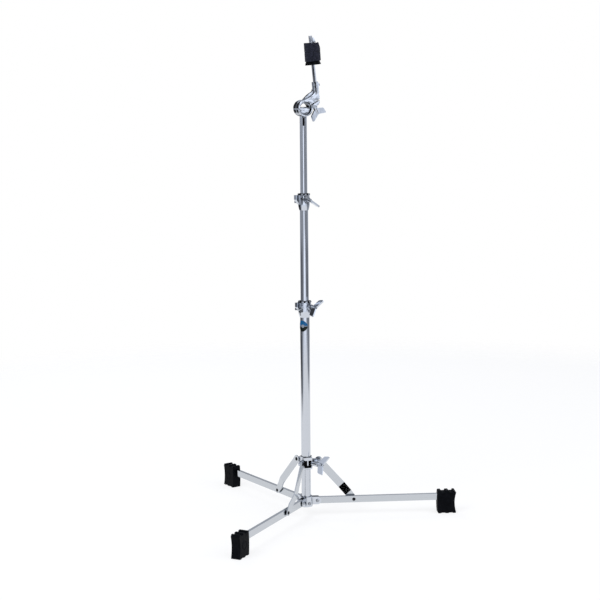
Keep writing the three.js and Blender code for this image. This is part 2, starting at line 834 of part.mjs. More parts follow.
function tilterHeadGeometry() {
  const drum = crosswise(turned([
    [0, -drumFrontReach],
    [drumRadius - drumFrontChamfer, -drumFrontReach],
    [drumRadius, -drumFrontReach + drumFrontChamfer],
    [drumRadius, drumBackReach - drumGrooveSetback - drumGrooveWidth],
    [drumRadius - drumGrooveDepth, drumBackReach - drumGrooveSetback - drumGrooveWidth],
    [drumRadius - drumGrooveDepth, drumBackReach - drumGrooveSetback],
    [drumRadius, drumBackReach - drumGrooveSetback],
    [drumRadius, drumBackReach - drumGrooveDepth],
    [drumRadius - drumGrooveDepth, drumBackReach],
    [0, drumBackReach],
  ], tubeSides), 0, 0);
  const spigot = crosswise(rod(spigotRadius, -spigotReach, 0, tubeSides), 0, 0);
  const shoulderTop = -drumRadius / 2;
  const shoulderBottom = upperTubeTop + gap - tiltHeight;
  const shoulder = rod(upperTubeRadius, shoulderBottom, shoulderTop, tubeSides);
  const clearRing = crosswise(
    tube(drumRadius + gap, spigotRadius, -spigotReach - overrun, -drumFrontReach, tubeSides), 0, 0);
  const stubRadius = upperTubeRadius - upperTubeWall - gap;
  const stubBar = rod(stubRadius, shoulderBottom - stubLength, shoulderBottom + overrun, tubeSides);
  const slotRoom = spun(crossSlotGeometry(), -tilterAzimuth).translate(0, 0, -tiltHeight);
  const stub = solid(stubBar).subtract(solid(slotRoom));
  const bore = rod(drumBoreRadius, -spigotReach - overrun, drumBackReach + overrun, tubeSides);
  const flare = rod(drumFlareRadius, drumBackReach - drumFlareDepth, drumBackReach + overrun, tubeSides);
  const through = crosswise(carve([bore, flare]), 0, 0);
  const saddle = laid(rod(saddleRadius, -drumRadius, drumRadius, tubeSides), saddleRise - saddleRadius);
  const window = solid(through).subtract(solid(saddle));
  return geometryOf(solid(carve([drum, spigot, shoulder], [clearRing])).add(stub).subtract(window));
}

// Tilter arm, built about the tilt axis along Y

// Lays a shape that runs along -Z across the slit, so that it crosses the slit at the bolt.
function acrossSlit(geometry) {
  return geometry.clone().translate(clampBoltRadius, -armMiddle, 0).rotateY(radians(-slitAngle));
}

// Leans a shape that runs along +Z over to the line of the cymbal rod.
function leaned(geometry) {
  return geometry.clone().rotateY(radians(-rodLean)).translate(rodOffset, -armMiddle, 0);
}

function tilterArmGeometry() {
  const inner = spigotRadius + gap;
  const ring = crosswise(turned([
    [0, -ringFront],
    [drumRadius - armBevel, -ringFront],
    [drumRadius, -ringFront + armBevel],
    [drumRadius, -ringBack],
    [0, -ringBack],
  ], tubeSides), 0, 0);
  const frontOutline = shared(frontPlateShares, armScale, armScale);
  const backOutline = shared(backPlateShares, armScale, armScale);
  const front = chamferedPlate(frontOutline, -ringFront, -frontPlateBack, armBevel);
  const back = plate(backOutline, -backPlateFront, -ringBack);
  const boss = acrossSlit(rod(clampBossRadius, -clampBossReach, -slitWidth));
  const socket = leaned(turned([
    [0, socketBottom - socketBevel],
    [socketRadius - socketBevel, socketBottom - socketBevel],
    [socketRadius, socketBottom],
    [socketRadius, socketTop - socketBevel],
    [socketRadius - socketBevel, socketTop],
    [0, socketTop],
  ], tubeSides));
  const boltHole = rod(
    wingShankRadius + wingHoleClearance, -clampBossReach - overrun, clampHoleDepth, holeSides);
  const recess = block(-recessLength / 2, recessLength / 2, -armMiddle - recessWidth / 2 + overrun,
    -armMiddle + recessWidth / 2 + overrun, -recessDepth, recessDepth)
    .rotateY(radians(-recessAngle)).translate(recessAcross, 0, recessUp);
  const cuts = [
    crosswise(rod(inner, -ringFront - overrun, -ringBack + overrun, tubeSides), 0, 0),
    block(0, slitReach, -ringFront - overrun, -ringBack + overrun, -slitWidth / 2, slitWidth / 2)
      .rotateY(radians(-slitAngle)),
    acrossSlit(boltHole),
    leaned(rod(rodRadius + gap, socketFloor - gap, socketTop + overrun, holeSides)),
    leaned(laid(rod(rodScrewRadius + gap, 0, drumRadius, holeSides), rodScrewHeight)),
    recess,
  ];
  return carve([ring, front, back, boss, socket], cuts);
}

function rodScrewGeometry() {
  const tip = rodRadius + gap;
  const screw = rod(rodScrewRadius, tip, socketRadius + rodScrewProud);
  const half = rodScrewRadius + gap;
  const head = block(-half, half, -half, half, socketRadius + gap, socketRadius + rodScrewProud);
  return leaned(laid(carve([screw, head]), rodScrewHeight));
}

// Rod pieces, built on the rod's own axis along Z

function cymbalRodGeometry() {
  const points = [[0, socketFloor], [rodRadius, socketFloor], [rodRadius, threadStart]];
  const root = rodRadius - threadDepth;
  for (let z = threadStart; z + threadPitch < rodTop - rodTipBevel; z += threadPitch) {
    points.push([root, z + threadPitch / 2]);
    points.push([rodRadius, z + threadPitch]);
  }
  points.push([root, rodTop - rodTipBevel], [root - rodTipBevel, rodTop], [0, rodTop]);
  return turned(points, pinSides);
}

const sleeveInner = rodRadius + gap;
const sleeveOuter = sleeveInner + sleeveWall;
const seatTop = seatBottom + seatHeight;
const lowerFeltBottom = seatTop + sleeveFlangeHeight + gap;
const upperFeltBottom = lowerFeltBottom + feltHeight + gap;
const feltTop = upperFeltBottom + feltHeight;
const nutBottom = feltTop - nutHeight;

function seatGeometry() {
  return turned([
    [sleeveInner, seatBottom + seatSkirtThickness],
    [seatHubRadius, seatBottom + seatSkirtThickness],
    [seatHubRadius + seatSkirtThickness, seatTop - seatSkirtThickness * 2],
    [seatTopRadius - seatSkirtThickness, seatTop - seatSkirtThickness * 2],
    [seatBottomRadius - seatSkirtThickness, seatBottom],
    [seatBottomRadius, seatBottom],
    [seatTopRadius, seatTop],
    [sleeveInner, seatTop],
  ], tubeSides);
}

function sleeveGeometry() {
  const bottom = seatTop + gap;
  const flangeTop = bottom + sleeveFlangeHeight - gap;
  const top = nutBottom - gap;
  return turned([
    [sleeveInner, bottom],
    [sleeveFlangeRadius, bottom],
    [sleeveFlangeRadius, flangeTop],
    [sleeveOuter, flangeTop],
    [sleeveOuter, top],
    [sleeveInner, top],
  ], pinSides);
}

function feltGeometry(bottom, counterbore) {
  const top = bottom + feltHeight;
  const bore = sleeveOuter + gap;
  const outside = [
    [bore, bottom],
    [feltRadius - feltCrown, bottom],
    [feltRadius, bottom + feltHeight / 4],
    [feltRadius, top - feltHeight / 4],
    [feltRadius - feltCrown, top],
  ];
  const inside = counterbore > 0
    ? [[nutRadius + gap, top], [nutRadius + gap, top - counterbore], [bore, top - counterbore]]
    : [[bore, top]];
  return turned([...outside, ...inside], tubeSides);
}

function topNutGeometry() {
  const body = rod(nutRadius, nutBottom, feltTop + gap, hexSides);
  const tabNear = rodRadius + gap * 2;
  const tabOutline = outline([
    [tabNear, nutBottom + gap],
    [tabNear + tabThickness, nutBottom + gap],
    [tabNear + tabThickness, feltTop + gap],
    [tabNear + tabFootWidth, feltTop + gap],
    [tabNear + tabFootWidth, feltTop + ridgeBevel],
    [tabNear + tabTipWidth, feltTop + tabHeight],
    [tabNear, feltTop + tabHeight],
  ]);
  const tab = plate(tabOutline, -tabThickness / 2, tabThickness / 2);
  return carve([body, tab], [rod(rodRadius + gap, nutBottom - overrun, feltTop + overrun)]);
}

// Round label, a thin curved disc on the lower tube

function labelGeometry() {
  const near = lowerTubeRadius + gap;
  const shell = tube(near + labelThickness, near, labelHeight - labelDiameter, labelHeight + labelDiameter);
  const chord = labelChordShare * near;
  const disc = rod(1, 0, near * 2, discSides).scale(labelDiameter / 2, chord, 1);
  return geometryOf(solid(shell).intersect(solid(spun(laid(disc, labelHeight), labelAzimuth))));
}

// Tubes of the pole, each a sliding fit in the one below

function lowerTubeGeometry() {
  return tube(lowerTubeRadius, middleTubeRadius + slideClearance, lowerTubeBottom, lowerTubeTop);
}

function middleTubeGeometry() {
  const bottom = lowerTubeTop - middleTubeInsertion;
  return tube(middleTubeRadius, upperTubeRadius + slideClearance, bottom, middleTubeTop);
}

// Upper tube with the cross slot open at its top

function upperTubeGeometry() {
  const bottom = middleTubeTop - upperTubeInsertion;
  const body = tube(upperTubeRadius, upperTubeRadius - upperTubeWall, bottom, upperTubeTop);
  return carve([body], [crossSlotGeometry()]);
}

// Assembly

const pole = group(
  piece("hub", hubGeometry(), castChrome),
  piece("hub_screw", hubScrewGeometry(), steel),
  piece("lower_tube", lowerTubeGeometry(), chrome),
  piece("round_label", labelGeometry(), vinyl),
  piece("middle_tube", middleTubeGeometry(), chrome),
  piece("upper_tube", upperTubeGeometry(), chrome),
);

["right", "back", "front"].forEach((side, leg) => {
  const spoke = group(
    piece(`hub_pin_${side}`, hubPinGeometry(), steel),
    piece(`leg_${side}`, legGeometry(), chrome),
    piece(`foot_${side}`, footGeometry(), rubber),
    piece(`strut_pin_${side}`, strutPinGeometry(), steel),
    piece(`strut_washer_${side}`, washerGeometry(), nylon),
    piece(`strut_${side}`, strutGeometry(), chrome),
    piece(`lug_pin_${side}`, lugPinGeometry(), steel),
  );
  spoke.rotation.z = radians(leg * legStep);
  pole.add(spoke);
});

pole.add(
  piece("slide_collar", slideCollarGeometry(), castChrome),
  piece("slide_bushing", tube(slideBushOuter, slideBushInner, slideCollarBottom, slideTop), nylon),
  wingAt("slide_wing_bolt", slideBossReach - slideBushOuter, slideBossAzimuth,
    slideCollarBottom + slideBossHeight, slideBossReach + gap, slideWingTurn),
);

const lowerCollar = heightCollar("lower", lowerTubeRadius, middleTubeRadius, lowerBossReach, lowerBossAzimuth,
  lowerWingTurn);
lowerCollar.position.z = lowerCollarBottom;
const upperCollar = heightCollar("upper", middleTubeRadius, upperTubeRadius, upperBossReach, upperBossAzimuth,
  upperWingTurn);
upperCollar.position.z = upperCollarBottom;
pole.add(lowerCollar, upperCollar);

const rodPieces = group(
  piece("cymbal_rod", cymbalRodGeometry(), chrome),
  piece("seat_cup", seatGeometry(), nylon),
  piece("rod_sleeve", sleeveGeometry(), nylon),
  piece("lower_felt", feltGeometry(lowerFeltBottom, 0), felt),
  piece("upper_felt", feltGeometry(upperFeltBottom, nutHeight + gap), felt),
  piece("top_nut", topNutGeometry(), castChrome),
);
rodPieces.rotation.y = radians(-rodLean);
rodPieces.position.set(rodOffset, -armMiddle, 0);

const tilterWing = piece("tilter_wing_bolt", wingBolt(clampBossReach + clampHoleDepth - gap * 2), castChrome);
tilterWing.rotation.set(Math.PI, 0, radians(tilterWingTurn));
tilterWing.position.z = -clampBossReach - gap;
const clampPlace = group(tilterWing);
clampPlace.position.set(clampBoltRadius, -armMiddle, 0);
const clampGroup = group(clampPlace);
clampGroup.rotation.y = radians(-slitAngle);

const arm = group(
  piece("tilter_arm", tilterArmGeometry(), castChrome),
  piece("rod_screw", rodScrewGeometry(), steel),
  rodPieces,
  clampGroup,
);

const tilter = group(piece("tilter_head", tilterHeadGeometry(), castChrome), arm);
tilter.rotation.z = radians(tilterAzimuth);
tilter.position.z = tiltHeight;
pole.add(tilter);

pole.position.x = poleX;
const stand = group(pole);

export default stand;
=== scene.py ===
"""A straight cymbal stand with a flat folding tripod base, dressed for a white studio.

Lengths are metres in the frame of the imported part: +Z up, the floor at z = 0. In the finishes, sizes of
patterns and depths of bumps are millimetres. Angles in fields are degrees.
"""
import json
import logging
import math
from dataclasses import dataclass, field
from enum import Enum
from typing import Sequence

import bmesh
import bpy
from mathutils import Matrix, Vector, noise

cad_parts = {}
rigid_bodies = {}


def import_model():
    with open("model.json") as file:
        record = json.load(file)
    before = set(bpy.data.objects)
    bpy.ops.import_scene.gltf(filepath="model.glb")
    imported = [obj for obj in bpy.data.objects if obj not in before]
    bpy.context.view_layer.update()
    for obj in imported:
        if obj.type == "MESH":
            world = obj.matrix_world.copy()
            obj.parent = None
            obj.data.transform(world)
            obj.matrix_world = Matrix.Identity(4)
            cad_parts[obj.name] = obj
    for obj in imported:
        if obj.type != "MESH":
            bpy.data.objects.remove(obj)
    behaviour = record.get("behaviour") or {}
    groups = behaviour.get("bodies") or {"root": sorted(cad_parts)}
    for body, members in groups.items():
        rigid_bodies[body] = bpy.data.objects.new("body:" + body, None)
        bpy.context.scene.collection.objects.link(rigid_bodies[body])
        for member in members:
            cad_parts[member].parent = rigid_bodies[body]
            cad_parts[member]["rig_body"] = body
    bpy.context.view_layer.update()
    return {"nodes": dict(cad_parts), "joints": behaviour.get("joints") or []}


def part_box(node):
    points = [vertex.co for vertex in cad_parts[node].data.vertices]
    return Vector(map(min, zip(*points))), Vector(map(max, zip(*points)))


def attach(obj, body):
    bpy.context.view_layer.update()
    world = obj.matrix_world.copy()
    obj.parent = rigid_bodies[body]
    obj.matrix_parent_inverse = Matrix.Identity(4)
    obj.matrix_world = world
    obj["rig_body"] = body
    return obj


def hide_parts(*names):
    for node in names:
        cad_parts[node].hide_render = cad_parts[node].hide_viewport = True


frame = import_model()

LOG = logging.getLogger("stand")

MM = 0.001
SIDES = ("right", "back", "front")
TWO_PI = 2 * math.pi
UP = Vector((0, 0, 1))
WHITE = (1.0, 1.0, 1.0, 1.0)

# The part of a noise pattern's values that a gloss map uses.
NOISE_SPAN = (0.3, 0.7)

# The label's UV map, and the place of the film's middle on it, both ways.
FILM_MAP = "film"
FILM_MIDDLE = 0.5

# Corners nearer than this are joined when a CAD mesh is copied.
JOIN_REACH = 0.01 * MM

# Faces that meet at less than the flat angle are one face, and at more than the sharp angle make an edge
# that is rounded. Faces are shaded smooth up to the smooth angle, but for the folds of a pressed strip.
FLAT_DEGREES = 0.5
SHARP_DEGREES = 28
SMOOTH_DEGREES = 34
FOLD_DEGREES = (8, 20)

# A domed head's rings, and how far along its quarter circle it stops at a small flat.
DOME_STEPS = 5
DOME_SHARE = 0.94

Tree = bpy.types.NodeTree
Node = bpy.types.Node
Socket = bpy.types.NodeSocket
Piece = bpy.types.Object
Span = tuple[float, float]
Profile = Sequence[Span]


# Colour and node helpers

def linear(hex_colour: str) -> tuple[float, float, float, float]:
    """Turns an sRGB hex colour, such as "c9d0da", to the linear colour of a node's socket."""
    def decode(share: float) -> float:
        """Undoes the sRGB curve for one channel."""
        return share / 12.92 if share <= 0.04045 else ((share + 0.055) / 1.055) ** 2.4

    red, green, blue = (decode(int(hex_colour[i:i + 2], 16) / 255) for i in (0, 2, 4))
    return red, green, blue, 1.0


def per_metre(millimetres: float) -> float:
    """Turns the real size of one pattern feature to a noise scale on coordinates in metres."""
    return 1 / (millimetres * MM)


def blank_tree(owner: bpy.types.Material | bpy.types.World) -> Tree:
    """Switches a material or a world to nodes and returns its empty node tree."""
    owner.use_nodes = True
    owner.node_tree.nodes.clear()
    return owner.node_tree


def add_node(tree: Tree, kind: str, inputs: dict | None = None, **settings: object) -> Node:
    """Adds one node with its settings, its socket values and its links.

    Args:
        tree: The node tree.
        kind: Blender's type name of the node.
        inputs: Socket name or number to a value, or to the output socket that feeds it.
        settings: Properties of the node itself, such as operation or blend_type.

    Returns:
        The new node.
    """
    made = tree.nodes.new(kind)
    for key, value in settings.items():
        setattr(made, key, value)
    for key, value in (inputs or {}).items():
        if isinstance(value, Socket):
            tree.links.new(value, made.inputs[key])
        else:
            made.inputs[key].default_value = value
    return made


def pattern(tree: Tree, place: Socket, size: float | tuple, detail: float, **inputs: float) -> Socket:
    """Adds a noise pattern.

    Args:
        tree: The node tree.
        place: Socket of the coordinates in metres.
        size: Real size of one feature in millimetres, or its three sizes along the axes.
        detail: Octaves of finer noise.
        inputs: Other values, such as Roughness or Distortion.

    Returns:
        The socket of the pattern's value.
    """
    scale = 1.0 if isinstance(size, tuple) else per_metre(size)
    if isinstance(size, tuple):
        place = add_node(tree, "ShaderNodeMapping", {
            "Vector": place, "Scale": [per_metre(side) for side in size]}).outputs["Vector"]
    return add_node(tree, "ShaderNodeTexNoise", {
        "Vector": place, "Scale": scale, "Detail": detail, **inputs}).outputs["Fac"]


def remap(tree: Tree, value: Socket, source: Span, target: Span = (0.0, 1.0),
          **settings: str) -> Socket:
    """Adds a node that takes one range of values to another.

    Args:
        tree: The node tree.
        value: Socket of the value.
        source: First and last value of the range that comes in.
        target: What those two become.
        settings: Properties of the node, such as interpolation_type.

    Returns:
        The socket of the new value.
    """
    return add_node(tree, "ShaderNodeMapRange", {
        "Value": value, "From Min": source[0], "From Max": source[1],
        "To Min": target[0], "To Max": target[1]}, **settings).outputs["Result"]


def calculate(tree: Tree, operation: str, *values: Socket | float) -> Socket:
    """Adds a math node with its one or two values and returns the socket of its answer."""
    made = add_node(tree, "ShaderNodeMath", dict(enumerate(values)), operation=operation)
    return made.outputs["Value"]


def measure(tree: Tree, vector: Socket) -> Socket:
    """Adds a node that measures a vector and returns the socket of its length."""
    return add_node(tree, "ShaderNodeVectorMath", {0: vector}, operation="LENGTH").outputs["Value"]


def bumped(tree: Tree, height: Socket, strength: float, depth: float) -> Socket:
    """Adds a bump.

    Args:
        tree: The node tree.
        height: Socket of the pattern that raises the surface.
        strength: How strongly the bump shows.
        depth: How far the pattern raises the surface, in millimetres.

    Returns:
        The socket of the bumped normal.
    """
    return add_node(tree, "ShaderNodeBump", {
        "Height": height, "Strength": strength, "Distance": depth * MM}).outputs["Normal"]


def mixed(tree: Tree, share: Socket, first: Socket | tuple, second: Socket | tuple) -> Socket:
    """Adds a mixture of two colours, with a given share of the second, and returns its socket."""
    return add_node(tree, "ShaderNodeMixRGB", {
        "Fac": share, "Color1": first, "Color2": second}).outputs["Color"]


def mixed_shader(tree: Tree, share: Socket, first: Socket, second: Socket) -> Socket:
    """Adds a mixture of two shaders, with a given share of the second, and returns its socket."""
    return add_node(tree, "ShaderNodeMixShader", {0: share, 1: first, 2: second}).outputs["Shader"]


def ramp(tree: Tree, factor: Socket, stops: Sequence[tuple[float, tuple]]) -> Socket:
    """Adds a colour ramp and returns its colour.

    Args:
        tree: The node tree.
        factor: Socket that drives the ramp.
        stops: Place from 0 to 1 and linear colour of each stop.

    Returns:
        The ramp's colour socket.
    """
    made = add_node(tree, "ShaderNodeValToRGB", {"Fac": factor})
    elements = made.color_ramp.elements
    while len(elements) < len(stops):
        elements.new(0.5)
    for element, (place, colour) in zip(elements, stops):
        element.position = place
        element.color = colour
    return made.outputs["Color"]


def two_tone(tree: Tree, factor: Socket, span: Span, low: str, high: str) -> Socket:
    """Adds a ramp from one hex colour to another.

    Args:
        tree: The node tree.
        factor: Socket that drives the ramp.
        span: Values at which the first colour ends and the second one begins.
        low: Hex colour under the span.
        high: Hex colour over it.

    Returns:
        The ramp's colour socket.
    """
    return ramp(tree, factor, [(span[0], linear(low)), (span[1], linear(high))])


# Finishes

class Slot(Enum):
    """The record's material slots."""

    TUBE = "chrome_tube"
    CASTING = "chrome_casting"
    SHEET = "chrome_sheet"
    STEEL = "plated_steel"
    NYLON = "black_nylon"
    RUBBER = "black_rubber"
    FELT = "grey_felt"
    FILM = "printed_film"


@dataclass(frozen=True)
class Finish:
    """A surface finish that makes its material once and hands it out again."""

    title: str
    slot: Slot

    def material(self) -> bpy.types.Material:
        """Returns this finish's material, made on first use."""
        found = bpy.data.materials.get(self.title)
        if found:
            return found
        made = bpy.data.materials.new(self.title)
        tree = blank_tree(made)
        coordinates = add_node(tree, "ShaderNodeTexCoord").outputs["Object"]
        shader = add_node(tree, "ShaderNodeBsdfPrincipled", self.surface(tree, coordinates))
        add_node(tree, "ShaderNodeOutputMaterial", {"Surface": shader.outputs["BSDF"]})
        return made

    def surface(self, tree: Tree, coordinates: Socket) -> dict:
        """Returns the inputs of the surface shader by name. Each finish has its own.

        Args:
            tree: The material's node tree.
            coordinates: Socket of the places in metres.
        """
        raise NotImplementedError


@dataclass(frozen=True)
class ChromePlate(Finish):
    """Bright chromium over nickel on steel or on a die casting.

    Plating is mirror smooth, so the eye gets sharp reflections. A casting keeps a faint orange peel
    under its plate, and painted shade darkens its colour in its crevices. A drawn tube keeps fine marks
    along its length from the tube or bushing that slides on it.
    """

    tint: str = "c8ccd3"
    roughness: float = 0.05
    haze: float = 0.06
    haze_size: float = 35.0
    haze_span: Span = (0.4, 0.75)
    peel_size: float = 5.0
    peel_depth: float = 0.0
    peel_strength: float = 0.5
    stroke_width: float = 1.2
    stroke_length: float = 60.0
    stroke_share: float = 0.0
    stroke_span: Span = (0.52, 0.72)
    # Painted shade: within this reach of a crevice, the colour darkens towards the shade tint.
    painted_shade_reach: float = 0.0
    painted_shade_tint: str = "101115"
    painted_shade_span: Span = (0.5, 0.88)
    painted_shade_samples: int = 8

    def colour(self, tree: Tree) -> Socket:
        """Returns the plate's colour with painted shade: darker within reach of a crevice."""
        open_share = add_node(tree, "ShaderNodeAmbientOcclusion", {
            "Distance": self.painted_shade_reach * MM}, samples=self.painted_shade_samples).outputs["AO"]
        return two_tone(tree, open_share, self.painted_shade_span, self.painted_shade_tint, self.tint)

    def surface(self, tree: Tree, coordinates: Socket) -> dict:
        """Returns the plate: haze and slide marks in the roughness, orange peel in the bump."""
        cloud = pattern(tree, coordinates, self.haze_size, detail=3.0, Roughness=0.6)
        stroke = (self.stroke_width, self.stroke_width, self.stroke_length)
        strokes = pattern(tree, coordinates, stroke, detail=2.0)
        worn = remap(tree, strokes, self.stroke_span, (0.0, self.stroke_share))
        hazy = remap(tree, cloud, self.haze_span, (self.roughness, self.roughness + self.haze))
        peel = pattern(tree, coordinates, self.peel_size, detail=2.0, Roughness=0.4)
        return {
            # Painted shade: near crevices the colour darkens towards the shade tint.
            "Base Color": self.colour(tree) if self.painted_shade_reach else linear(self.tint),
            "Metallic": 1.0, "Roughness": calculate(tree, "ADD", hazy, worn),
            "Normal": bumped(tree, peel, strength=self.peel_strength, depth=self.peel_depth)}


@dataclass(frozen=True)
class ZincSteel(Finish):
    """Bright zinc plate on turned steel screws and rivets.

    Zinc is greyer and softer than chromium, with a fine turned grain and darker patches where fingers and
    tools have dulled it.
    """

    bright: str = "b4b8bf"
    dull: str = "84888f"
    patch: float = 6.0
    patch_span: Span = (0.35, 0.62)
    roughness: Span = (0.18, 0.36)
    grain: float = 0.8
    grain_depth: float = 0.1

    def surface(self, tree: Tree, coordinates: Socket) -> dict:
        """Returns the zinc: patches in the colour, turned grain in roughness and bump."""
        patches = pattern(tree, coordinates, self.patch, detail=4.0)
        grain = pattern(tree, coordinates, self.grain, detail=2.0)
        return {
            "Base Color": two_tone(tree, patches, self.patch_span, self.dull, self.bright),
            "Metallic": 1.0, "Roughness": remap(tree, grain, NOISE_SPAN, self.roughness),
            "Normal": bumped(tree, grain, strength=0.25, depth=self.grain_depth)}


@dataclass(frozen=True)
class MouldedRubber(Finish):
    """Black natural rubber, compression moulded.

    Carbon black makes it deep grey with a soft sheen. The mould leaves a fine grain, and floor dust
    lightens it in patches.
    """

    black: str = "030407"
    dusty: str = "111217"
    dust: float = 9.0
    dust_span: Span = (0.42, 0.8)
    roughness: Span = (0.48, 0.72)
    grain: float = 0.9
    grain_depth: float = 0.25

    def surface(self, tree: Tree, coordinates: Socket) -> dict:
        """Returns the rubber: dust in colour and roughness, mould grain in the bump."""
        dust = pattern(tree, coordinates, self.dust, detail=6.0, Roughness=0.7)
        grain = pattern(tree, coordinates, self.grain, detail=3.0, Roughness=0.7)
        return {
            "Base Color": two_tone(tree, dust, self.dust_span, self.black, self.dusty),
            "Roughness": remap(tree, dust, NOISE_SPAN, self.roughness), "IOR": 1.52,
            "Specular IOR Level": 0.05,
            "Normal": bumped(tree, grain, strength=0.6, depth=self.grain_depth)}


@dataclass(frozen=True)
class MouldedNylon(Finish):
    """Black nylon, injection moulded.

    Satin, nearly even black with a slight gloss where the mould was polished and a faint mottle.
    """

    black: str = "020204"
    worn: str = "0a0b0d"
    mottle: float = 4.0
    mottle_span: Span = (0.45, 0.75)
    mottle_depth: float = 0.1
    roughness: Span = (0.28, 0.46)

    def surface(self, tree: Tree, coordinates: Socket) -> dict:
        """Returns the nylon: rubbed places in the colour, mottle in roughness and bump."""
        mottle = pattern(tree, coordinates, self.mottle, detail=4.0)
        return {
            "Base Color": two_tone(tree, mottle, self.mottle_span, self.black, self.worn),
            "Roughness": remap(tree, mottle, NOISE_SPAN, self.roughness), "IOR": 1.53,
            "Specular IOR Level": 0.06,
            "Normal": bumped(tree, mottle, strength=0.2, depth=self.mottle_depth)}


@dataclass(frozen=True)
class PressedFelt(Finish):
    """Dark grey wool felt, pressed and die cut.

    Matted fibres give a mottled blue-grey with lighter hairs, no gloss and a soft sheen at the edge. Wool
    fibres are 0.03 mm thick, far too fine to show, so the fibre pattern is drawn at 0.5 mm.
    """

    dark: str = "0e0e13"
    light: str = "343745"
    light_span: Span = (0.16, 0.42)
    fibre: float = 0.5
    fibre_length: float = 4.0
    clump: float = 4.0
    mat_depth: float = 0.6

    def surface(self, tree: Tree, coordinates: Socket) -> dict:
        """Returns the felt: clumps and fibres in the colour and bump, a sheen on top."""
        clumps = pattern(tree, coordinates, self.clump, detail=5.0, Roughness=0.75, Distortion=0.8)
        fibre = (self.fibre, self.fibre * self.fibre_length, self.fibre)
        fibres = pattern(tree, coordinates, fibre, detail=3.0, Distortion=1.5)
        matted = calculate(tree, "MULTIPLY", clumps, fibres)
        return {
            "Base Color": two_tone(tree, matted, self.light_span, self.dark, self.light),
            "Roughness": 0.95, "Sheen Weight": 0.08, "Sheen Roughness": 0.5,
            "Specular IOR Level": 0.05,
            "Normal": bumped(tree, matted, strength=0.9, depth=self.mat_depth)}


@dataclass(frozen=True)
class PrintedFilm(Finish):
    """A glossy round vinyl film with a plain print.

    A blue upper bow and a dark green lower bow lie round a silver middle.
    """

    silver: str = "7d848e"
    blue: str = "06507f"
    green: str = "020d0b"
    bow_gap: float = 0.03
    middle_radius: float = 0.15
    scuff: float = 2.0
    roughness: Span = (0.15, 0.35)

    def surface(self, tree: Tree, coordinates: Socket) -> dict:
        """Returns the print on the film's own UV map, measured from the film's middle."""
        flat = add_node(tree, "ShaderNodeUVMap", uv_map=FILM_MAP).outputs["UV"]
        spot = add_node(tree, "ShaderNodeVectorMath", {
            0: flat, 1: (FILM_MIDDLE, FILM_MIDDLE, 0.0)}, operation="SUBTRACT").outputs["Vector"]
        height = add_node(tree, "ShaderNodeSeparateXYZ", {"Vector": spot}).outputs["Y"]
        outside = calculate(tree, "GREATER_THAN", measure(tree, spot), self.middle_radius)
        colour = linear(self.silver)
        bows = (("GREATER_THAN", self.bow_gap, self.blue), ("LESS_THAN", -self.bow_gap, self.green))
        for side, gap, ink in bows:
            bow = calculate(tree, "MULTIPLY", calculate(tree, side, height, gap), outside)
            colour = mixed(tree, bow, colour, linear(ink))
        scuffs = pattern(tree, coordinates, self.scuff, detail=4.0)
        return {
            "Base Color": colour, "Roughness": remap(tree, scuffs, NOISE_SPAN, self.roughness),
            "Specular IOR Level": 0.2, "Coat Weight": 0.1, "Coat Roughness": 0.08}


DRAWN_TUBE = ChromePlate(
    "chrome plated drawn tube", Slot.TUBE, roughness=0.04, haze=0.05, stroke_share=0.12)
PRESSED_STRIP = ChromePlate(
    "chrome plated steel strip", Slot.SHEET, tint="c3c7cc", roughness=0.07, peel_size=14.0,
    peel_depth=0.1)
# The casting gets painted shade in its crevices.
DIE_CAST = ChromePlate(
    "chrome plated zinc casting", Slot.CASTING, tint="cbd0d8", roughness=0.06, peel_size=10.0,
    peel_depth=0.4, painted_shade_reach=11.0)
SCREW_STEEL = ZincSteel("zinc plated steel", Slot.STEEL)
# Painted shade: the strut and lug pins are coloured near black, standing in for the shade on and round
# their heads.
PIN_SHADE_STEEL = ZincSteel("pin steel with painted shade", Slot.STEEL, bright="1c1e22", dull="0c0d0f")
BLACK_RUBBER = MouldedRubber("moulded black rubber", Slot.RUBBER)
BLACK_NYLON = MouldedNylon("moulded black nylon", Slot.NYLON)
WOOL_FELT = PressedFelt("pressed wool felt", Slot.FELT)
LABEL_FILM = PrintedFilm("printed vinyl film", Slot.FILM)


class Edge(Enum):
    """How far an edge is rounded, in millimetres, and in how many steps."""

    SHARP = (0.15, 1)
    PRESSED = (0.4, 2)
    CAST = (0.6, 3)
    MOULDED = (1.0, 3)


# Places and measures

@dataclass(frozen=True)
class Line:
    """A straight axis in the part's frame."""

    origin: Vector
    direction: Vector

    def matrix(self) -> Matrix:
        """Returns the transform that takes +Z at the origin to this line."""
        turn = UP.rotation_difference(self.direction.normalized())
        return Matrix.Translation(self.origin) @ turn.to_matrix().to_4x4()

    @staticmethod
    def of_joint(name: str) -> "Line":
        """Returns the axis of one of the part's joints."""
        found = next(joint for joint in frame["joints"] if joint["name"] == name)
        return Line(Vector(found["pos_m"]), Vector(found["axis"]))


UPRIGHT = Line(Vector(), UP)


@dataclass(frozen=True)
class Reach:
    """How far a piece reaches along an axis and out from it."""

    low: float
    high: float
    radius: float

    @staticmethod
    def of(node: str, line: Line) -> "Reach":
        """Measures a CAD node against an axis."""
        direction = line.direction.normalized()
        corners = [vertex.co - line.origin for vertex in frame["nodes"][node].data.vertices]
        heights = [corner.dot(direction) for corner in corners]
        radii = [(corner - direction * height).length for corner, height in zip(corners, heights)]
        return Reach(min(heights), max(heights), max(radii))


def pole_line() -> Line:
    """Returns the pole's axis, from the floor up."""
    collar = Line.of_joint("lower_collar_turn")
    return Line(Vector((collar.origin.x, collar.origin.y, 0)), UP)


def between(start: float, end: float, steps: int) -> list[float]:
    """Returns the places that part a stretch into even steps, without its two ends."""
    return [start + (end - start) * step / steps for step in range(1, steps)]


# Modelling helpers

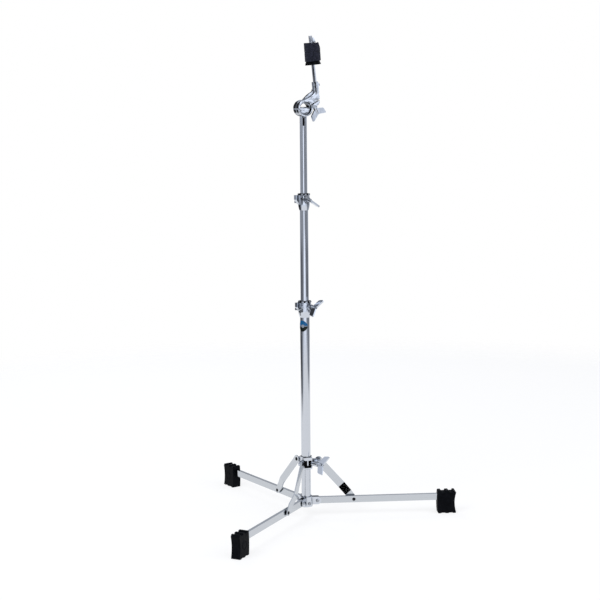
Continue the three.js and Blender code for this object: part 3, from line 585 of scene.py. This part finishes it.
def deselect() -> None:
    """Leaves nothing selected, in object mode."""
    if bpy.context.object and bpy.context.object.mode != "OBJECT":
        bpy.ops.object.mode_set(mode="OBJECT")
    bpy.ops.object.select_all(action="DESELECT")


def activate(piece: Piece) -> None:
    """Makes one piece the only selected and the active one."""
    deselect()
    piece.select_set(True)
    bpy.context.view_layer.objects.active = piece


def apply_modifier(piece: Piece, kind: str, **settings: object) -> None:
    """Adds a modifier to a piece and applies it.

    Args:
        piece: The piece to change.
        kind: Blender's type name of the modifier.
        settings: Properties of the modifier.
    """
    activate(piece)
    modifier = piece.modifiers.new(kind.lower(), kind)
    for key, value in settings.items():
        setattr(modifier, key, value)
    bpy.ops.object.modifier_apply(modifier=modifier.name)


def smooth(piece: Piece, degrees: float) -> None:
    """Smooths a piece over every edge whose faces meet at less than an angle."""
    activate(piece)
    bpy.ops.object.shade_smooth_by_angle(angle=math.radians(degrees))


def keep_folds(piece: Piece) -> None:
    """Marks the gentle folds of a pressed strip as sharp, so that its flats stay flat."""
    least, most = FOLD_DEGREES
    mesh = bmesh.new()
    mesh.from_mesh(piece.data)
    for edge in mesh.edges:
        if least < math.degrees(edge.calc_face_angle(0)) < most:
            edge.smooth = False
    mesh.to_mesh(piece.data)
    mesh.free()


def round_edges(piece: Piece, edge: Edge) -> None:
    """Rounds a piece's sharp edges and smooths its curved faces."""
    width, steps = edge.value
    apply_modifier(piece, "BEVEL", width=width * MM, segments=steps, limit_method="ANGLE",
                   angle_limit=math.radians(SHARP_DEGREES), use_clamp_overlap=True, harden_normals=False)
    smooth(piece, SMOOTH_DEGREES)
    if edge is Edge.PRESSED:
        keep_folds(piece)
    apply_modifier(piece, "WEIGHTED_NORMAL", keep_sharp=True)


def stand_for(piece: Piece, node: str, finish: Finish) -> None:
    """Dresses a piece, hides the CAD node that it stands for and rides it on that node's body.

    Args:
        piece: The finished piece, in place.
        node: CAD node that the piece replaces.
        finish: The piece's finish, which knows its slot in the record.
    """
    piece.name = f"{node}_dressed"
    piece.data.materials.clear()
    piece.data.materials.append(finish.material())
    slot, body = finish.slot, frame["nodes"][node]["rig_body"]
    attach(piece, body)
    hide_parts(node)
    LOG.info("%s rides on %s with %d faces", piece.name, body, len(piece.data.polygons))


def merged_copy(node: str, flat_degrees: float = FLAT_DEGREES) -> Piece:
    """Copies a CAD node's mesh, joins its corners and dissolves the lines across its flat faces.

    Args:
        node: CAD node to copy.
        flat_degrees: Angle under which two faces count as one flat face.

    Returns:
        The new piece, at the origin with its place in its mesh.
    """
    mesh = frame["nodes"][node].data.copy()
    piece = bpy.data.objects.new(node, mesh)
    bpy.context.scene.collection.objects.link(piece)
    activate(piece)
    bpy.ops.object.mode_set(mode="EDIT")
    bpy.ops.mesh.select_all(action="SELECT")
    bpy.ops.mesh.remove_doubles(threshold=JOIN_REACH)
    bpy.ops.mesh.dissolve_limited(angle_limit=math.radians(flat_degrees))
    bpy.ops.object.mode_set(mode="OBJECT")
    return piece


def finished_copy(node: str, edge: Edge, finish: Finish) -> None:
    """Makes the finished surface of a CAD node: joined corners, rounded edges and its finish."""
    piece = merged_copy(node)
    round_edges(piece, edge)
    stand_for(piece, node, finish)


def turned(profile: Profile, line: Line, sides: int, hollow: bool = False) -> Piece:
    """Turns a piece on an axis: a ring is extruded and resized along its profile.

    Args:
        profile: Radius and height of each ring, in order along the wall.
        line: The piece's axis.
        sides: Number of faces round the piece.
        hollow: True where the profile closes on itself and leaves a bore.

    Returns:
        The turned piece, with its place in its mesh.
    """
    deselect()
    radius, height = profile[0]
    bpy.ops.mesh.primitive_circle_add(vertices=sides, radius=radius, location=(0, 0, height))
    piece = bpy.context.object
    bpy.ops.object.transform_apply(location=True, rotation=True, scale=True)
    bpy.ops.object.mode_set(mode="EDIT")
    bpy.ops.mesh.select_all(action="SELECT")
    for next_radius, next_height in profile[1:]:
        bpy.ops.mesh.extrude_edges_move(TRANSFORM_OT_translate={"value": (0, 0, next_height - height)})
        share = next_radius / radius
        bpy.ops.transform.resize(value=(share, share, 1), center_override=(0, 0, next_height))
        radius, height = next_radius, next_height
    bpy.ops.mesh.select_mode(type="EDGE")
    bpy.ops.mesh.select_all(action="DESELECT")
    bpy.ops.mesh.select_non_manifold(extend=False)
    if hollow:
        bpy.ops.mesh.bridge_edge_loops()
    else:
        bpy.ops.mesh.fill_holes(sides=0)
    bpy.ops.mesh.select_all(action="SELECT")
    bpy.ops.mesh.normals_make_consistent(inside=False)
    bpy.ops.object.mode_set(mode="OBJECT")
    piece.data.transform(line.matrix())
    return piece


def dome(radius: float, base: float, rise: float) -> Profile:
    """Returns the profile of a domed head, from its rim up to a small flat at its middle."""
    angles = [math.pi / 2 * step / DOME_STEPS * DOME_SHARE for step in range(DOME_STEPS + 1)]
    return [(radius * math.cos(angle), base + rise * math.sin(angle)) for angle in angles]


# Sub-assemblies

@dataclass
class Pole:
    """The three telescoping tubes and the round label."""

    sides: int = 96
    rim: float = 0.4 * MM
    play: float = 0.3 * MM
    smooth_degrees: float = 30
    film_diameter: float = 30 * MM
    film_flat_degrees: float = 0.1

    def tube(self, node: str, line: Line, inner: float) -> Piece:
        """Turns one tube with a rounded rim at each end.

        Args:
            node: CAD node of the tube.
            line: The pole's axis.
            inner: Radius of the tube's bore.

        Returns:
            The turned tube.
        """
        reach = Reach.of(node, line)
        low, high, outer, rim = reach.low, reach.high, reach.radius, self.rim
        return turned([
            (outer - rim, low), (outer, low + rim), (outer, high - rim), (outer - rim, high),
            (inner + rim, high), (inner, high - rim), (inner, low + rim), (inner + rim, low),
        ], line, self.sides, hollow=True)

    def build(self) -> None:
        """Builds the tubes and the label."""
        line = pole_line()
        for node, inside in (("lower_tube", "middle_tube"), ("middle_tube", "upper_tube")):
            piece = self.tube(node, line, Reach.of(inside, line).radius + self.play)
            smooth(piece, self.smooth_degrees)
            stand_for(piece, node, DRAWN_TUBE)
        finished_copy("upper_tube", Edge.SHARP, DRAWN_TUBE)
        self.label(line)

    def label(self, line: Line) -> None:
        """Copies the film and gives it a flat UV map round its own middle."""
        piece = merged_copy("round_label", self.film_flat_degrees)
        low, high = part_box("round_label")
        middle = (low + high) / 2 - line.origin
        facing = math.atan2(middle.y, middle.x)
        radius = Reach.of("round_label", line).radius
        film = piece.data.uv_layers.new(name=FILM_MAP)
        for loop in piece.data.loops:
            corner = piece.data.vertices[loop.vertex_index].co - line.origin
            turn = (math.atan2(corner.y, corner.x) - facing + math.pi) % TWO_PI - math.pi
            film.data[loop.index].uv = (
                FILM_MIDDLE + turn * radius / self.film_diameter,
                FILM_MIDDLE + (corner.z - middle.z) / self.film_diameter)
        smooth(piece, self.smooth_degrees)
        stand_for(piece, "round_label", LABEL_FILM)


@dataclass
class Rivet:
    """A headed pin through ears, turned on the axis of a joint."""

    head_height: float = 1.5 * MM
    shaft_share: float = 0.55
    tip_bevel: float = 0.3 * MM
    sides: int = 40
    smooth_degrees: float = 40

    def build(self, node: str, line: Line, both_heads: bool = True, finish: Finish = SCREW_STEEL) -> None:
        """Turns a pin with domed heads in place of a CAD node.

        Args:
            node: CAD node that the pin replaces.
            line: The pin's axis.
            both_heads: False where the pin has a head at its high end only.
            finish: The pin's finish.
        """
        reach = Reach.of(node, line)
        shaft = reach.radius * self.shaft_share
        shoulder = reach.high - self.head_height
        top = [(shaft, shoulder), *dome(reach.radius, shoulder, self.head_height)]
        if both_heads:
            foot, seat = dome(reach.radius, 0, self.head_height), reach.low + self.head_height
            low_end = [(radius, seat - height) for radius, height in reversed(foot)]
            low_end.append((shaft, seat))
        else:
            low_end = [(shaft - self.tip_bevel, reach.low), (shaft, reach.low + self.tip_bevel)]
        piece = turned(low_end + top, line, self.sides)
        smooth(piece, self.smooth_degrees)
        stand_for(piece, node, finish)


@dataclass
class Leg:
    """One leg with its foot, its strut, and the pins and washer that join them."""

    side: str
    rivet: Rivet = field(default_factory=Rivet)

    def build(self) -> None:
        """Builds the leg's pieces."""
        fold = Line.of_joint(f"leg_{self.side}_fold")
        turn = Line.of_joint(f"strut_{self.side}_turn")
        for strip in ("leg", "strut"):
            finished_copy(f"{strip}_{self.side}", Edge.PRESSED, PRESSED_STRIP)
        finished_copy(f"foot_{self.side}", Edge.MOULDED, BLACK_RUBBER)
        finished_copy(f"strut_washer_{self.side}", Edge.SHARP, BLACK_NYLON)
        self.rivet.build(f"hub_pin_{self.side}", fold)
        # Painted shade: the strut and lug pins take the near black steel.
        self.rivet.build(f"strut_pin_{self.side}", turn, finish=PIN_SHADE_STEEL)
        low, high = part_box(f"lug_pin_{self.side}")
        lug = Line((low + high) / 2, -turn.direction)
        self.rivet.build(f"lug_pin_{self.side}", lug, both_heads=False, finish=PIN_SHADE_STEEL)


@dataclass
class Hub:
    """The cast hub at the foot of the pole and its set screw."""

    def build(self) -> None:
        """Builds the hub's pieces."""
        finished_copy("hub", Edge.CAST, DIE_CAST)
        finished_copy("hub_screw", Edge.SHARP, SCREW_STEEL)


@dataclass
class Collar:
    """A cast collar round a tube with its black bushing and its wing bolt.

    The slide collar spreads the struts. A height collar clamps a tube's end and has a pinch screw too.
    """

    title: str
    pinched: bool = True

    def build(self) -> None:
        """Builds the collar's pieces."""
        finished_copy(f"{self.title}_collar", Edge.CAST, DIE_CAST)
        finished_copy(f"{self.title}_bushing", Edge.SHARP, BLACK_NYLON)
        if self.pinched:
            finished_copy(f"{self.title}_pinch_screw", Edge.PRESSED, SCREW_STEEL)
        finished_copy(f"{self.title}_wing_bolt", Edge.MOULDED, DIE_CAST)


@dataclass
class Tilter:
    """The tilter's drum, its split ring arm, and the bolts that clamp them."""

    def build(self) -> None:
        """Builds the tilter's pieces."""
        for half in ("head", "arm"):
            finished_copy(f"tilter_{half}", Edge.CAST, DIE_CAST)
        finished_copy("rod_screw", Edge.PRESSED, SCREW_STEEL)
        finished_copy("tilter_wing_bolt", Edge.MOULDED, DIE_CAST)


@dataclass
class CymbalRod:
    """The leaning rod with its seat, sleeve, felts and top nut."""

    rod_sides: int = 40
    rod_smooth_degrees: float = 50
    thread_length: float = 24 * MM
    thread_pitch: float = 1.25 * MM
    thread_depth: float = 0.35 * MM
    thread_start: float = 0.2 * MM
    thread_run_in: float = 2 * MM
    rings_per_pitch: int = 5
    tip_bevel: float = 0.8 * MM
    flange_width: float = 3.65 * MM
    nut_radius: float = 8 * MM
    felt_sides: int = 96
    felt_smooth_degrees: float = 60
    felt_edge: float = 0.7 * MM
    felt_fuzz: float = 0.35 * MM
    felt_grain: float = 3 * MM
    coarse_fuzz: float = 0.6
    fine_fuzz: float = 0.4
    fine_ratio: float = 2.7
    felt_clearance: float = 0.35 * MM
    edge_steps: int = 4
    face_steps: int = 5
    wall_steps: int = 14
    core_radius: float = 9.5 * MM
    settle_low: float = 0.6 * MM
    settle_high: float = 2.2 * MM
    settle_slope: float = 0.07
    rub_height: float = 12 * MM
    rub_depth: float = 3.4 * MM
    rub_power: int = 3
    tuft_side: float = 0.86
    tuft_width: float = 0.09
    tuft_height: float = 1.8 * MM
    pressed_radius: float = 14.4 * MM

    def build(self) -> None:
        """Builds the rod and what sits on it."""
        line = Line.of_joint("top_nut_turn")
        self.rod(line)
        finished_copy("seat_cup", Edge.MOULDED, BLACK_NYLON)
        finished_copy("rod_sleeve", Edge.SHARP, BLACK_NYLON)
        for node in ("lower_felt", "upper_felt"):
            self.felt(node, line)
        finished_copy("top_nut", Edge.PRESSED, DIE_CAST)

    def rod(self, line: Line) -> None:
        """Turns the rod in fine rings and moves them in and out along a helix for its thread."""
        reach = Reach.of("cymbal_rod", line)
        start = reach.high - self.thread_length
        rings = int(self.thread_length / self.thread_pitch * self.rings_per_pitch)
        last = reach.high - self.tip_bevel
        heights = [reach.low, start - self.thread_pitch, start, *between(start, last, rings), last]
        profile = [(reach.radius, height) for height in heights]
        profile.append((reach.radius - self.tip_bevel, reach.high))
        piece = turned(profile, UPRIGHT, self.rod_sides)
        for vertex in piece.data.vertices:
            height = vertex.co.z - start
            if self.thread_start < height < self.thread_length - self.tip_bevel / 2:
                turn = math.atan2(vertex.co.y, vertex.co.x) / TWO_PI
                phase = (height / self.thread_pitch - turn) % 1
                depth = self.thread_depth * abs(2 * phase - 1) * min(1, height / self.thread_run_in)
                share = (reach.radius - depth) / reach.radius
                vertex.co.x *= share
                vertex.co.y *= share
        piece.data.transform(line.matrix())
        smooth(piece, self.rod_smooth_degrees)
        stand_for(piece, "cymbal_rod", DRAWN_TUBE)

    def felt_profile(self, node: str, line: Line) -> Profile:
        """Returns a felt's outline: its lower face, its wall with soft edges and its upper face.

        The lower felt sinks over the sleeve's flange onto the seat, and the upper one takes the nut.

        Args:
            node: CAD node of the felt.
            line: The rod's axis.

        Returns:
            Radius and height of each ring, in order round the felt's section.
        """
        reach, sleeve = Reach.of(node, line), Reach.of("rod_sleeve", line)
        edge, gap, low, high = self.felt_edge, self.felt_clearance, reach.low, reach.high
        bore = sleeve.radius - self.flange_width + gap
        if node == "lower_felt":
            flange = sleeve.radius + gap
            bottom = Reach.of("seat_cup", line).high + gap
            feet = [(bore, low), (flange, low), (flange + edge, bottom)]
            rim = [(bore, high)]
        else:
            pocket = self.nut_radius + gap
            sunk = Reach.of("top_nut", line).low - gap
            bottom = low
            feet = [(bore, low)]
            rim = [(pocket, high), (pocket, sunk), (bore, sunk)]
        outer = reach.radius - self.felt_fuzz
        across = outer - edge
        quarter = [math.pi / 2 * step / self.edge_steps for step in range(self.edge_steps + 1)]
        under = [(radius, bottom) for radius in between(feet[-1][0], across, self.face_steps)]
        lower_edge = [
            (across + edge * math.sin(angle), bottom + edge - edge * math.cos(angle))
            for angle in quarter]
        wall = [(outer, height) for height in between(bottom + edge, high - edge, self.wall_steps)]
        upper_edge = [
            (across + edge * math.cos(angle), high - edge + edge * math.sin(angle))
            for angle in quarter]
        top = [(radius, high) for radius in between(across, rim[0][0], self.face_steps)]
        return feet + under + lower_edge + wall + upper_edge + top + rim

    def worn(self, place: Vector, stack: Reach) -> Vector:
        """Moves a point of a felt to where use has pressed it.

        The stack settles upright against the rod's lean, its upper right edge is rubbed off, a tuft
        stands up there and the turning nut's tab keeps the middle of the top down.

        Args:
            place: A point of the felt with the rod's foot at the origin and the rod along +Z.
            stack: Reach of both felts together.

        Returns:
            The point's new place in the same frame.
        """
        radius = Vector((place.x, place.y, 0)).length
        # The felt is fully loose from one and a half times the core's radius outwards.
        loose = min(1.0, max(0.0, (radius - self.core_radius) / self.core_radius * 2))
        rise = (place.z - stack.low) / (stack.high - stack.low)
        side = place.x / stack.radius
        moved = place.copy()
        moved.x += loose * (self.settle_low + (self.settle_high - self.settle_low) * rise)
        moved.z -= loose * rise * self.settle_slope * place.x
        near_top = max(0.0, 1 - (stack.high - place.z) / self.rub_height)
        moved.x -= loose * max(0.0, side) ** self.rub_power * near_top * self.rub_depth
        if side > 0 and place.z > stack.high - self.felt_edge:
            near = math.exp(-((side - self.tuft_side) / self.tuft_width) ** 2)
            moved.z += loose * near * self.tuft_height
        past_tab = max(0.0, Vector((moved.x, moved.y, 0)).length - self.pressed_radius)
        moved.z = min(moved.z, stack.high + past_tab)
        return moved

    def felt(self, node: str, line: Line) -> None:
        """Turns a felt, presses it to its worn shape and raises its matted surface."""
        lower, upper = Reach.of("lower_felt", line), Reach.of("upper_felt", line)
        stack = Reach(lower.low, upper.high, upper.radius)
        piece = turned(self.felt_profile(node, line), UPRIGHT, self.felt_sides, hollow=True)
        for vertex in piece.data.vertices:
            around = Vector((vertex.co.x, vertex.co.y, 0))
            place = self.worn(vertex.co, stack)
            if around.length > self.core_radius:
                spot = vertex.co / self.felt_grain
                fine = noise.noise(spot * self.fine_ratio) * self.fine_fuzz
                fuzz = noise.noise(spot) * self.coarse_fuzz + fine
                place += around.normalized() * fuzz * self.felt_fuzz
            vertex.co = place
        piece.data.transform(line.matrix())
        smooth(piece, self.felt_smooth_degrees)
        stand_for(piece, node, WOOL_FELT)


# Studio

@dataclass
class Camera:
    """The camera that took the photograph, placed from the pole's foot."""

    distance: float = 3.996
    height: float = 1.1957
    pitch: float = 8.52
    yaw: float = -0.18
    roll: float = -0.50
    turn: float = -4.35
    focal_pixels: float = 1510.75
    frame_pixels: float = 600
    sensor: float = 36.0
    nearest: float = 0.05
    farthest: float = 60

    def build(self) -> None:
        """Makes the camera and gives it to the scene."""
        data = bpy.data.cameras.new("photo_camera")
        data.sensor_width = self.sensor
        data.lens = self.sensor * self.focal_pixels / self.frame_pixels
        data.clip_start = self.nearest
        data.clip_end = self.farthest
        camera = bpy.data.objects.new("photo_camera", data)
        bpy.context.scene.collection.objects.link(camera)
        pitch, yaw, roll = (math.radians(angle) for angle in (self.pitch, self.yaw, self.roll))
        forward = Vector((
            math.sin(yaw) * math.cos(pitch), math.cos(yaw) * math.cos(pitch), -math.sin(pitch)))
        level = forward.cross(UP).normalized()
        above = level.cross(forward)
        right = level * math.cos(roll) + above * math.sin(roll)
        up = above * math.cos(roll) - level * math.sin(roll)
        facing = Matrix((right, up, -forward)).transposed().to_4x4()
        foot = Matrix.Translation(pole_line().origin)
        turn = Matrix.Rotation(math.radians(self.turn), 4, "Z")
        place = Matrix.Translation((0, -self.distance, self.height))
        camera.matrix_world = foot @ turn @ place @ facing
        bpy.context.scene.camera = camera
        LOG.info("camera at %s", tuple(round(value, 3) for value in camera.matrix_world.translation))


@dataclass(frozen=True)
class Band:
    """One height band of the room round the stand, as the chrome sees it.

    The band begins at bottom, in degrees above the horizon, and takes over from the band under it within
    blend degrees. Each of its lights is a direction in degrees and the room's brightness there.
    """

    bottom: float
    blend: float
    lights: Sequence[Span]


ROOM = (
    # The studio's floor past the paper.
    Band(bottom=-90, blend=1, lights=(
        (-180, 0.12), (-162, 0.2), (-148, 0.6), (-125, 0.95), (-60, 0.95), (-42, 0.75), (-28, 0.35),
        (-8, 0.25), (30, 0.4), (60, 0.6), (88, 0.5), (100, 0.04), (150, 0.04))),
    # The floor's dark end and the lit strip behind the camera.
    Band(bottom=-9.5, blend=2.5, lights=(
        (-180, 0.14), (-150, 0.16), (-128, 0.42), (-112, 0.6), (-104, 1.3), (-78, 1.3), (-66, 0.8),
        (-48, 0.2), (-10, 0.12), (15, 0.2), (40, 0.5), (90, 0.8), (130, 0.4), (150, 0.15))),
    # The grey room over it and the thin end of the strip.
    Band(bottom=-6.4, blend=1.2, lights=(
        (-180, 0.38), (-156, 0.38), (-125, 0.38), (-108, 0.4), (-103, 1.5), (-87, 1.5), (-80, 0.36),
        (-54, 0.3), (-30, 0.3), (-4, 0.32), (20, 0.34), (45, 0.6), (90, 0.9), (130, 0.45), (159, 0.32))),
    # The dark room at eye height.
    Band(bottom=-1.4, blend=0.8, lights=(
        (-180, 0.95), (-148, 0.85), (-126, 0.3), (-106, 0.0), (-72, 0.0), (-60, 0.7), (-52, 1.2),
        (-40, 1.2), (-28, 0.3), (-15, 0.15), (-8, 0.7), (-1, 1.3), (30, 1.0), (60, 0.8), (76, 0.35),
        (94, 0.35), (106, 0.02), (150, 0.03), (168, 0.8))),
    # The walls under the soft boxes.
    Band(bottom=15, blend=8, lights=(
        (-180, 0.7), (-150, 0.45), (-120, 0.25), (-90, 0.6), (-74, 0.7), (-68, 2.0), (-50, 2.0),
        (-44, 0.6), (-16, 0.1), (-8, 0.6), (0, 1.1), (30, 0.6), (56, 0.7), (80, 0.5), (98, 0.45),
        (110, 0.03), (148, 0.03), (166, 0.6))),
    # The dark gap over the back wall.
    Band(bottom=34, blend=5, lights=(
        (-180, 0.7), (-150, 0.45), (-120, 0.25), (-90, 0.6), (-74, 0.7), (-68, 2.0), (-50, 2.0),
        (-44, 0.6), (0, 0.2), (30, 0.5), (60, 0.5), (80, 0.05), (140, 0.05), (160, 0.6))),
    # The soft boxes overhead.
    Band(bottom=50, blend=8, lights=(
        (-180, 0.5), (-156, 0.8), (-150, 1.8), (-115, 1.8), (-108, 0.7), (-60, 0.9), (0, 0.5),
        (60, 0.8), (110, 0.45), (150, 0.5))),
)


@dataclass(frozen=True)
class Lamp:
    """A square soft lamp that stands round the pole and faces it. Chrome doesn't see it."""

    title: str
    azimuth: float
    distance: float
    height: float
    size: float
    watts: float
    aim_height: float = 0.5

    def hang(self) -> None:
        """Hangs the lamp in the scene."""
        data = bpy.data.lights.new(self.title, "AREA")
        data.shape = "SQUARE"
        data.size = self.size
        data.energy = self.watts
        lamp = bpy.data.objects.new(self.title, data)
        lamp.visible_glossy = False
        bpy.context.scene.collection.objects.link(lamp)
        angle, foot = math.radians(self.azimuth), pole_line().origin
        place = foot + Vector((
            self.distance * math.cos(angle), self.distance * math.sin(angle), self.height))
        aim = foot + UP * self.aim_height - place
        lamp.matrix_world = Matrix.Translation(place) @ aim.to_track_quat("-Z", "Y").to_matrix().to_4x4()


LAMPS = (
    Lamp("key lamp", azimuth=-135, distance=2.6, height=2.6, size=1.2, watts=44),
    Lamp("fill lamp", azimuth=-25, distance=2.8, height=1.9, size=1.4, watts=24),
    Lamp("back lamp", azimuth=110, distance=2.6, height=2.4, size=1.2, watts=22),
)


@dataclass
class Studio:
    """A pale paper floor, a white surround, a black card and soft lamps."""

    floor_radius: float = 2.8
    floor_sides: int = 128
    floor_edge: float = 0.5
    floor_white: str = "f6f6f7"
    floor_glow: float = 0.77
    paper_left: float = 1.25
    paper_right: float = 1.4
    paper_edge: float = 0.5
    room_light: float = 1.13
    card_distance: float = 0.5
    card_low: float = 1.09
    card_high: float = 1.3
    card_left: float = 0.5
    card_right: float = 0.3
    card_black: float = 0.01
    room_tint: Sequence[float] = (0.92, 0.965, 1.06)
    bands: Sequence[Band] = ROOM
    lamps: Sequence[Lamp] = LAMPS

    def room(self, tree: Tree) -> Socket:
        """Lays the height bands of the room over each other and returns their colour."""
        direction = add_node(tree, "ShaderNodeTexCoord").outputs["Generated"]
        parts = add_node(tree, "ShaderNodeSeparateXYZ", {"Vector": direction}).outputs
        around = remap(tree, calculate(tree, "ARCTAN2", parts["Y"], parts["X"]), (-math.pi, math.pi))
        height = calculate(tree, "ARCSINE", parts["Z"])
        colour = None
        for band in self.bands:
            first_light = band.lights[0][1]
            stops = [*band.lights, (180, first_light)]
            walls = ramp(tree, around, [
                ((degrees + 180) / 360, (*(light * share for share in self.room_tint), 1))
                for degrees, light in stops])
            if colour is None:
                colour = walls
                continue
            low, high = (math.radians(band.bottom + half) for half in (-band.blend / 2, band.blend / 2))
            share = remap(tree, height, (low, high), interpolation_type="SMOOTHSTEP")
            colour = mixed(tree, share, colour, walls)
        return colour

    def world(self) -> None:
        """Lights the world: white to the camera, and the room's bands to everything else."""
        world = bpy.data.worlds.new("studio")
        bpy.context.scene.world = world
        tree = blank_tree(world)
        seen = add_node(tree, "ShaderNodeLightPath").outputs["Is Camera Ray"]
        dim = add_node(tree, "ShaderNodeBackground", {
            "Color": self.room(tree), "Strength": self.room_light})
        white = add_node(tree, "ShaderNodeBackground", {"Color": WHITE, "Strength": 1.0})
        surface = mixed_shader(tree, seen, dim.outputs["Background"], white.outputs["Background"])
        add_node(tree, "ShaderNodeOutputWorld", {"Surface": surface})

    def floor(self) -> None:
        """Lays the floor, which keeps the stand's shadow.

        The camera sees it fade out at its rim. The chrome sees it as a roll of white paper that ends at a
        left and a right edge.
        """
        deselect()
        bpy.ops.mesh.primitive_circle_add(
            vertices=self.floor_sides, radius=self.floor_radius, fill_type="NGON")
        floor = bpy.context.object
        floor.name = "floor"
        made = bpy.data.materials.new("white floor")
        tree = blank_tree(made)
        place = add_node(tree, "ShaderNodeTexCoord").outputs["Object"]
        rim = remap(tree, measure(tree, place), (self.floor_radius - self.floor_edge, self.floor_radius))
        across = add_node(tree, "ShaderNodeSeparateXYZ", {"Vector": place}).outputs["X"]
        right = remap(tree, across, (self.paper_right, self.paper_right + self.paper_edge))
        left = remap(tree, across, (-self.paper_left, -self.paper_left - self.paper_edge))
        path = add_node(tree, "ShaderNodeLightPath").outputs
        off_paper = calculate(tree, "MAXIMUM", right, left)
        mirrored = calculate(tree, "MULTIPLY", off_paper, path["Is Glossy Ray"])
        fade = calculate(tree, "MAXIMUM", rim, mirrored)
        shown = calculate(tree, "MAXIMUM", path["Is Camera Ray"], path["Is Glossy Ray"])
        through = calculate(tree, "MAXIMUM", shown, path["Is Transmission Ray"])
        share = calculate(tree, "MULTIPLY", through, self.floor_glow)
        paper = add_node(tree, "ShaderNodeBsdfDiffuse", {"Color": linear(self.floor_white)})
        glow = add_node(tree, "ShaderNodeEmission", {"Color": WHITE, "Strength": 1.0})
        lit = mixed_shader(tree, share, paper.outputs["BSDF"], glow.outputs["Emission"])
        clear = add_node(tree, "ShaderNodeBsdfTransparent")
        surface = mixed_shader(tree, fade, lit, clear.outputs["BSDF"])
        add_node(tree, "ShaderNodeOutputMaterial", {"Surface": surface})
        floor.data.materials.append(made)

    def card(self) -> None:
        """Stands a black card before the rod, which only the chrome sees."""
        deselect()
        across, height = (self.card_right - self.card_left) / 2, (self.card_low + self.card_high) / 2
        middle = pole_line().origin + Vector((across, -self.card_distance, height))
        bpy.ops.mesh.primitive_plane_add(size=1, location=middle, rotation=(math.pi / 2, 0, 0))
        card = bpy.context.object
        card.name = "black_card"
        card.scale = (self.card_left + self.card_right, self.card_high - self.card_low, 1)
        bpy.ops.object.transform_apply(location=True, rotation=True, scale=True)
        made = bpy.data.materials.new("black card")
        tree = blank_tree(made)
        black = add_node(tree, "ShaderNodeBsdfDiffuse", {"Color": (*[self.card_black] * 3, 1)})
        add_node(tree, "ShaderNodeOutputMaterial", {"Surface": black.outputs["BSDF"]})
        card.data.materials.append(made)
        card.visible_camera = False
        card.visible_diffuse = False
        card.visible_shadow = False

    def build(self) -> None:
        """Builds the world, the floor, the card and the lamps."""
        self.world()
        self.floor()
        self.card()
        for lamp in self.lamps:
            lamp.hang()


def main() -> None:
    """Builds the stand's sub-assemblies from the floor up, then the studio."""
    logging.basicConfig(level=logging.INFO, format="%(message)s")
    parts = (
        Pole(),
        Hub(),
        *(Leg(side) for side in SIDES),
        Collar("slide", pinched=False),
        Collar("lower"),
        Collar("upper"),
        Tilter(),
        CymbalRod(),
        Camera(),
        Studio(),
    )
    for part in parts:
        LOG.info("building %s", type(part).__name__)
        part.build()
    bpy.context.scene.view_settings.view_transform = "Standard"


if __name__ == "__main__":
    main()
